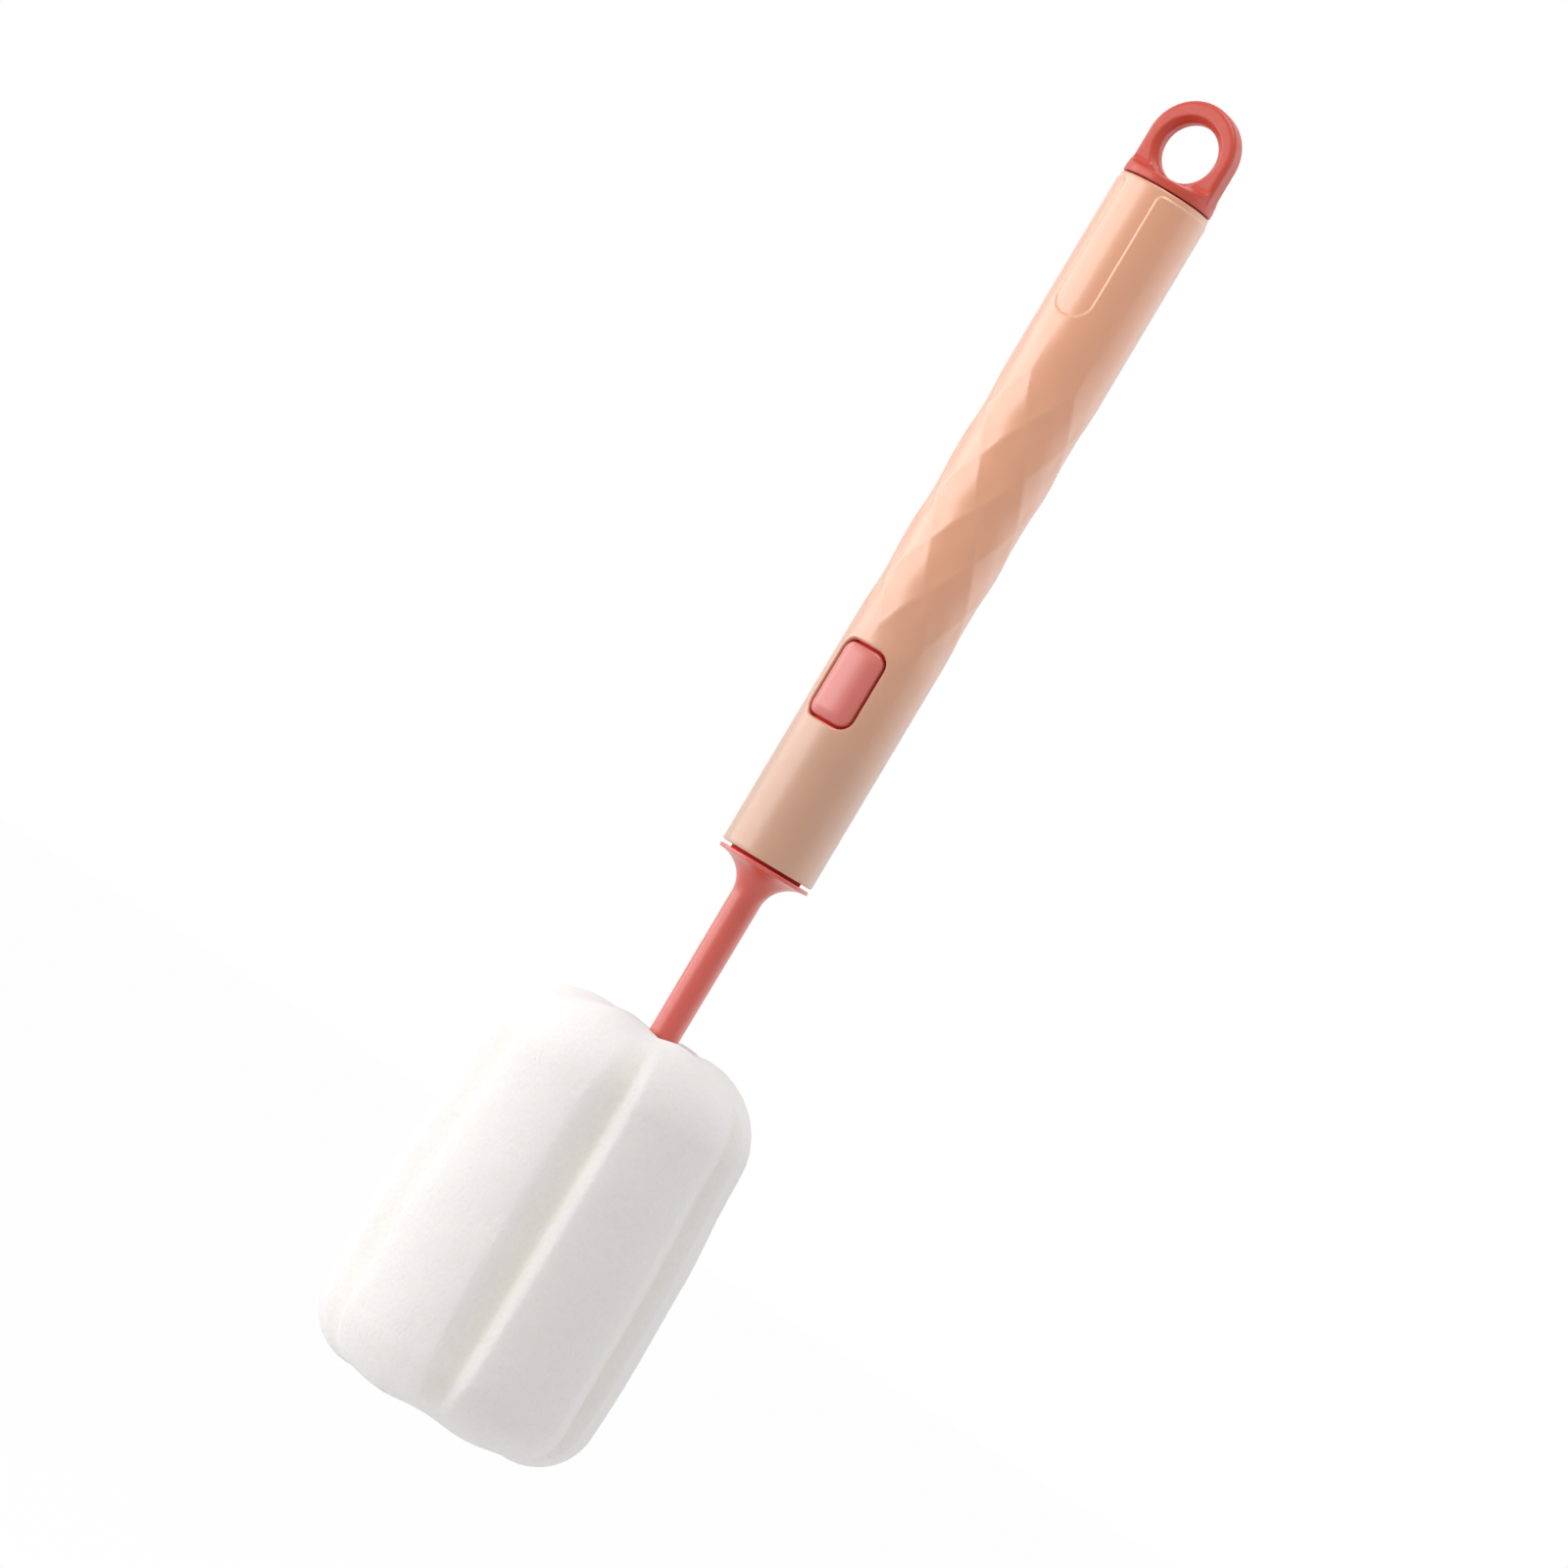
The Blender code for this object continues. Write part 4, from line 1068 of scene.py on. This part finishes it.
# the foam head: six lobes with lens-shaped grooves between them, hollow for the core inside
sponge = {
    "top": -200.7,
    "low": -287.8,
    "stemHole": 3.55,
    "topRadius": 28.2,
    "wideRadius": 30.7,
    "lowRadius": 29.7,
    "widest": 0.64,  # share of the height, from the top
    "bulge": 1.4,
    "crownFlat": 11.2,  # radius at which the crown starts to fall
    "crownHigh": 15.0,
    "corner": 11.5,
    "lobes": 6,
    "grooveTurn": 5.2,  # of the deepest line, in degrees from the middle of the groove
    "slopeWide": 7.6,
    "wallWide": 3.0,
    "grooveDeep": 2.6,
    "grooveShadeShare": 0.35,  # share of the painted groove tint on the grooves other than the one facing the camera
    "aside": (-1.8, -1.15),  # the skin lies to the side, the hollow doesn't
    "asideFrom": 3.5,
    "asideFull": 14,
    "endDip": 1.4,
    "dimple": 1.6,
    "columns": 384,
    "spacing": 0.55,
    "uneven": 0.22,
    "unevenSize": 11.0,
    "grainDeep": 0.05,
    "grainSize": 1.5,
    "cavity": (
        (3.6, -205.3),
        (5.3, -207.2),
        (5.3, -268.2),
        (5.8, -273.5),
        (5.8, -275.8),
        (12.3, -275.8),
        (12.3, -278.2),
        (2.3, -278.2),
        (2.3, -281.1),
        (0, -281.1),
    ),
    "cavityBox": (12.5, -282, -204.1),  # radius, lowest and highest place
}
lobeTurn = 2 * pi / sponge["lobes"]


def foamSide(down):
    # radius on the middle of a lobe, at a share of the height down from the top
    s = sponge
    if down < s["widest"]:
        share = sin(pi / 2 * down / s["widest"]) ** s["bulge"]
        return s["topRadius"] + (s["wideRadius"] - s["topRadius"]) * share
    below = (down - s["widest"]) / (1 - s["widest"])
    return s["wideRadius"] - (s["wideRadius"] - s["lowRadius"]) * below**2


def foamOutline():
    # (radius, height) down the middle of a lobe, from the stem's hole to under the base
    s = sponge
    c, long, flat = s["corner"], s["top"] - s["low"], s["crownFlat"]
    corners = [(s["stemHole"], s["top"])]
    for i in range(33):
        t = pi / 2 * i / 32
        fall = s["crownHigh"] * (1 - cos(t))
        corners.append((flat + (foamSide(fall / long) - flat) * sin(t), s["top"] - fall))
    for i in range(1, 40):
        down = (s["crownHigh"] + (long - s["crownHigh"] - c) * i / 40) / long
        corners.append((foamSide(down), s["top"] - long * down))
    inner = s["lowRadius"] - c
    for i in range(25):
        t = pi / 2 * i / 24
        rise = c * (1 - sin(t))
        corners.append((inner + (foamSide(1 - rise / long) - inner) * cos(t), s["low"] + rise))
    corners.append((0.0, s["low"]))
    line = [corners[0]]
    for a, b in zip(corners, corners[1:]):
        count = ceil((Vector(b) - Vector(a)).length / s["spacing"])
        line += [tuple(Vector(a).lerp(Vector(b), i / count)) for i in range(1, count + 1)]
    return line


def foamReach(z):
    # 0 at half the head's height, 1 at both ends
    middle, half = (sponge["top"] + sponge["low"]) / 2, (sponge["top"] - sponge["low"]) / 2
    return min(1.0, abs(z - middle) / half)


def grooveShare(turn, radius, z):
    # how deep in a groove a place of the foam's skin lies, from 0 on the lobes to 1
    s = sponge
    lens = 1 - foamReach(z) ** 4
    off = (turn % lobeTurn) - lobeTurn / 2 - radians(s["grooveTurn"])
    wide = s["slopeWide"] if off < 0 else s["wallWide"]
    share = min(1.0, abs(off) * max(radius, 1) / (wide * (1 + lens) / 2))
    return (1 - share**1.4) ** 1.3 * lens * min(1.0, radius / s["topRadius"])


def foamPoint(turn, radius, z):
    s = sponge
    out = min(1.0, radius / s["topRadius"])
    off = abs((turn % lobeTurn) - lobeTurn / 2)
    valley = s["endDip"] * (0.5 + 0.5 * cos(pi * off / (lobeTurn / 2))) * min(1.0, 1.5 * out)
    bowl = s["dimple"] * max(0.0, 1 - out / 0.6) ** 1.5
    sunk = (valley + bowl) * foamReach(z) ** 8
    r = radius - s["grooveDeep"] * grooveShare(turn, radius, z)
    lean = easeStep(s["asideFrom"], s["asideFull"], radius)
    x, y = r * sin(turn) + s["aside"][0] * lean, s["aside"][1] * lean - r * cos(turn)
    return (x, y, z - sunk if z > (s["top"] + s["low"]) / 2 else z + sunk / 2)


def inCavity(x, y, z):
    radius, low, high = sponge["cavityBox"]
    return hypot(x, y) < radius and low < z < high


# painted light: how much of the yellowish groove tint a place takes, full in the groove facing the camera
def grooveShadeMark(x, y, z):
    s = sponge
    if inCavity(x, y, z):
        return 0.0
    turn = atan2(x - s["aside"][0], s["aside"][1] - y)
    tint = 1.0 if 0 < turn < lobeTurn else s["grooveShadeShare"]
    return tint * grooveShare(turn, hypot(x, y) + 2, z)


def addFoam():
    s = sponge
    turns = [2 * pi * i / s["columns"] for i in range(s["columns"])]
    skin = [[foamPoint(turn, r, z) for turn in turns] for r, z in foamOutline()]
    inside = [[(r * sin(turn), -r * cos(turn), z) for turn in turns] for r, z in s["cavity"][::-1]]
    piece = addPiece("foamHead", *strip(inside + skin), foam, 60)
    # the painted groove tint
    addMark(piece, "hollow", grooveShadeMark)

    middle = Vector((0, 0, (s["top"] + s["low"]) / 2))
    normals = [vertex.normal.copy() for vertex in piece.data.vertices]
    for vertex, normal in zip(piece.data.vertices, normals):
        place = vertex.co / mm
        if inCavity(*place):
            continue
        shift = s["uneven"] * noise.noise((place - middle) / s["unevenSize"])
        shift += s["grainDeep"] * noise.noise(place / s["grainSize"])
        vertex.co += normal * shift * mm
    fit(piece, "extension", "foam", "sponge")


addHandle()
addCap()
addButton()
addNeck()
addTube()
addFoam()

# the hidden pieces keep their solids
hiddenFinish = {
    "guide_sleeve": coral,
    "tail_bush": coral,
    "brake_lever": whitePlastic,
    "sponge_core": whitePlastic,
    "anchor_disc": whitePlastic,
    "brake_pad": rubber,
    "friction_ring": rubber,
    "lever_pin": steel,
    "lever_spring": steel,
}
for name, finish in hiddenFinish.items():
    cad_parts[name].material_slots[0].material = finish
print("hidden pieces finished")


# floor and sky: white where the camera looks past the object
def addStage():
    half = room["floorSize"] / 2 / mm
    z = room["floorHeight"] / mm
    corners = [(-half, -half, z), (half, -half, z), (half, half, z), (-half, half, z)]
    paint = Finish("paleFloor")
    shade = paint.mix(paint.grain(room["floorCloud"], 2), *room["floorTones"])
    solid = paint.node("ShaderNodeBsdfDiffuse", {}, {"Color": shade})
    white = paint.node("ShaderNodeEmission", {}, {"Color": (1, 1, 1, 1), "Strength": 1.0})
    lit = paint.node("ShaderNodeMixShader", {}, {0: paint.seen() * room["floorWhite"], 1: solid, 2: white})
    clear = paint.node("ShaderNodeBsdfTransparent")
    back = paint.node("ShaderNodeNewGeometry", out="Backfacing")
    both = paint.node("ShaderNodeMixShader", {}, {0: back, 1: lit, 2: clear})
    paint.node("ShaderNodeOutputMaterial", {}, {"Surface": both})
    floor = addPiece("paleFloor", corners, [(0, 1, 2, 3)], paint.owner)
    floor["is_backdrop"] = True


def addSky():
    world = bpy.data.worlds.new("studioSky")
    bpy.context.scene.world = world
    sky = Finish("studioSky", world)
    soft = sky.node("ShaderNodeBackground", {}, {"Color": (1, 1, 1, 1), "Strength": room["skyLight"]})
    white = sky.node("ShaderNodeBackground", {}, {"Color": (1, 1, 1, 1), "Strength": 1.0})
    both = sky.node("ShaderNodeMixShader", {}, {0: sky.seen(), 1: soft, 2: white})
    sky.node("ShaderNodeOutputWorld", {}, {"Surface": both})


addStage()
addSky()
print("floor and sky placed")

boxes = {"cad": cadBox, "visual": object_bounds()}
sizes = {name: [list(corner) for corner in box] for name, box in boxes.items()}
for name, (lowest, highest) in sizes.items():
    print(name, [round((b - a) / mm, 2) for a, b in zip(lowest, highest)])
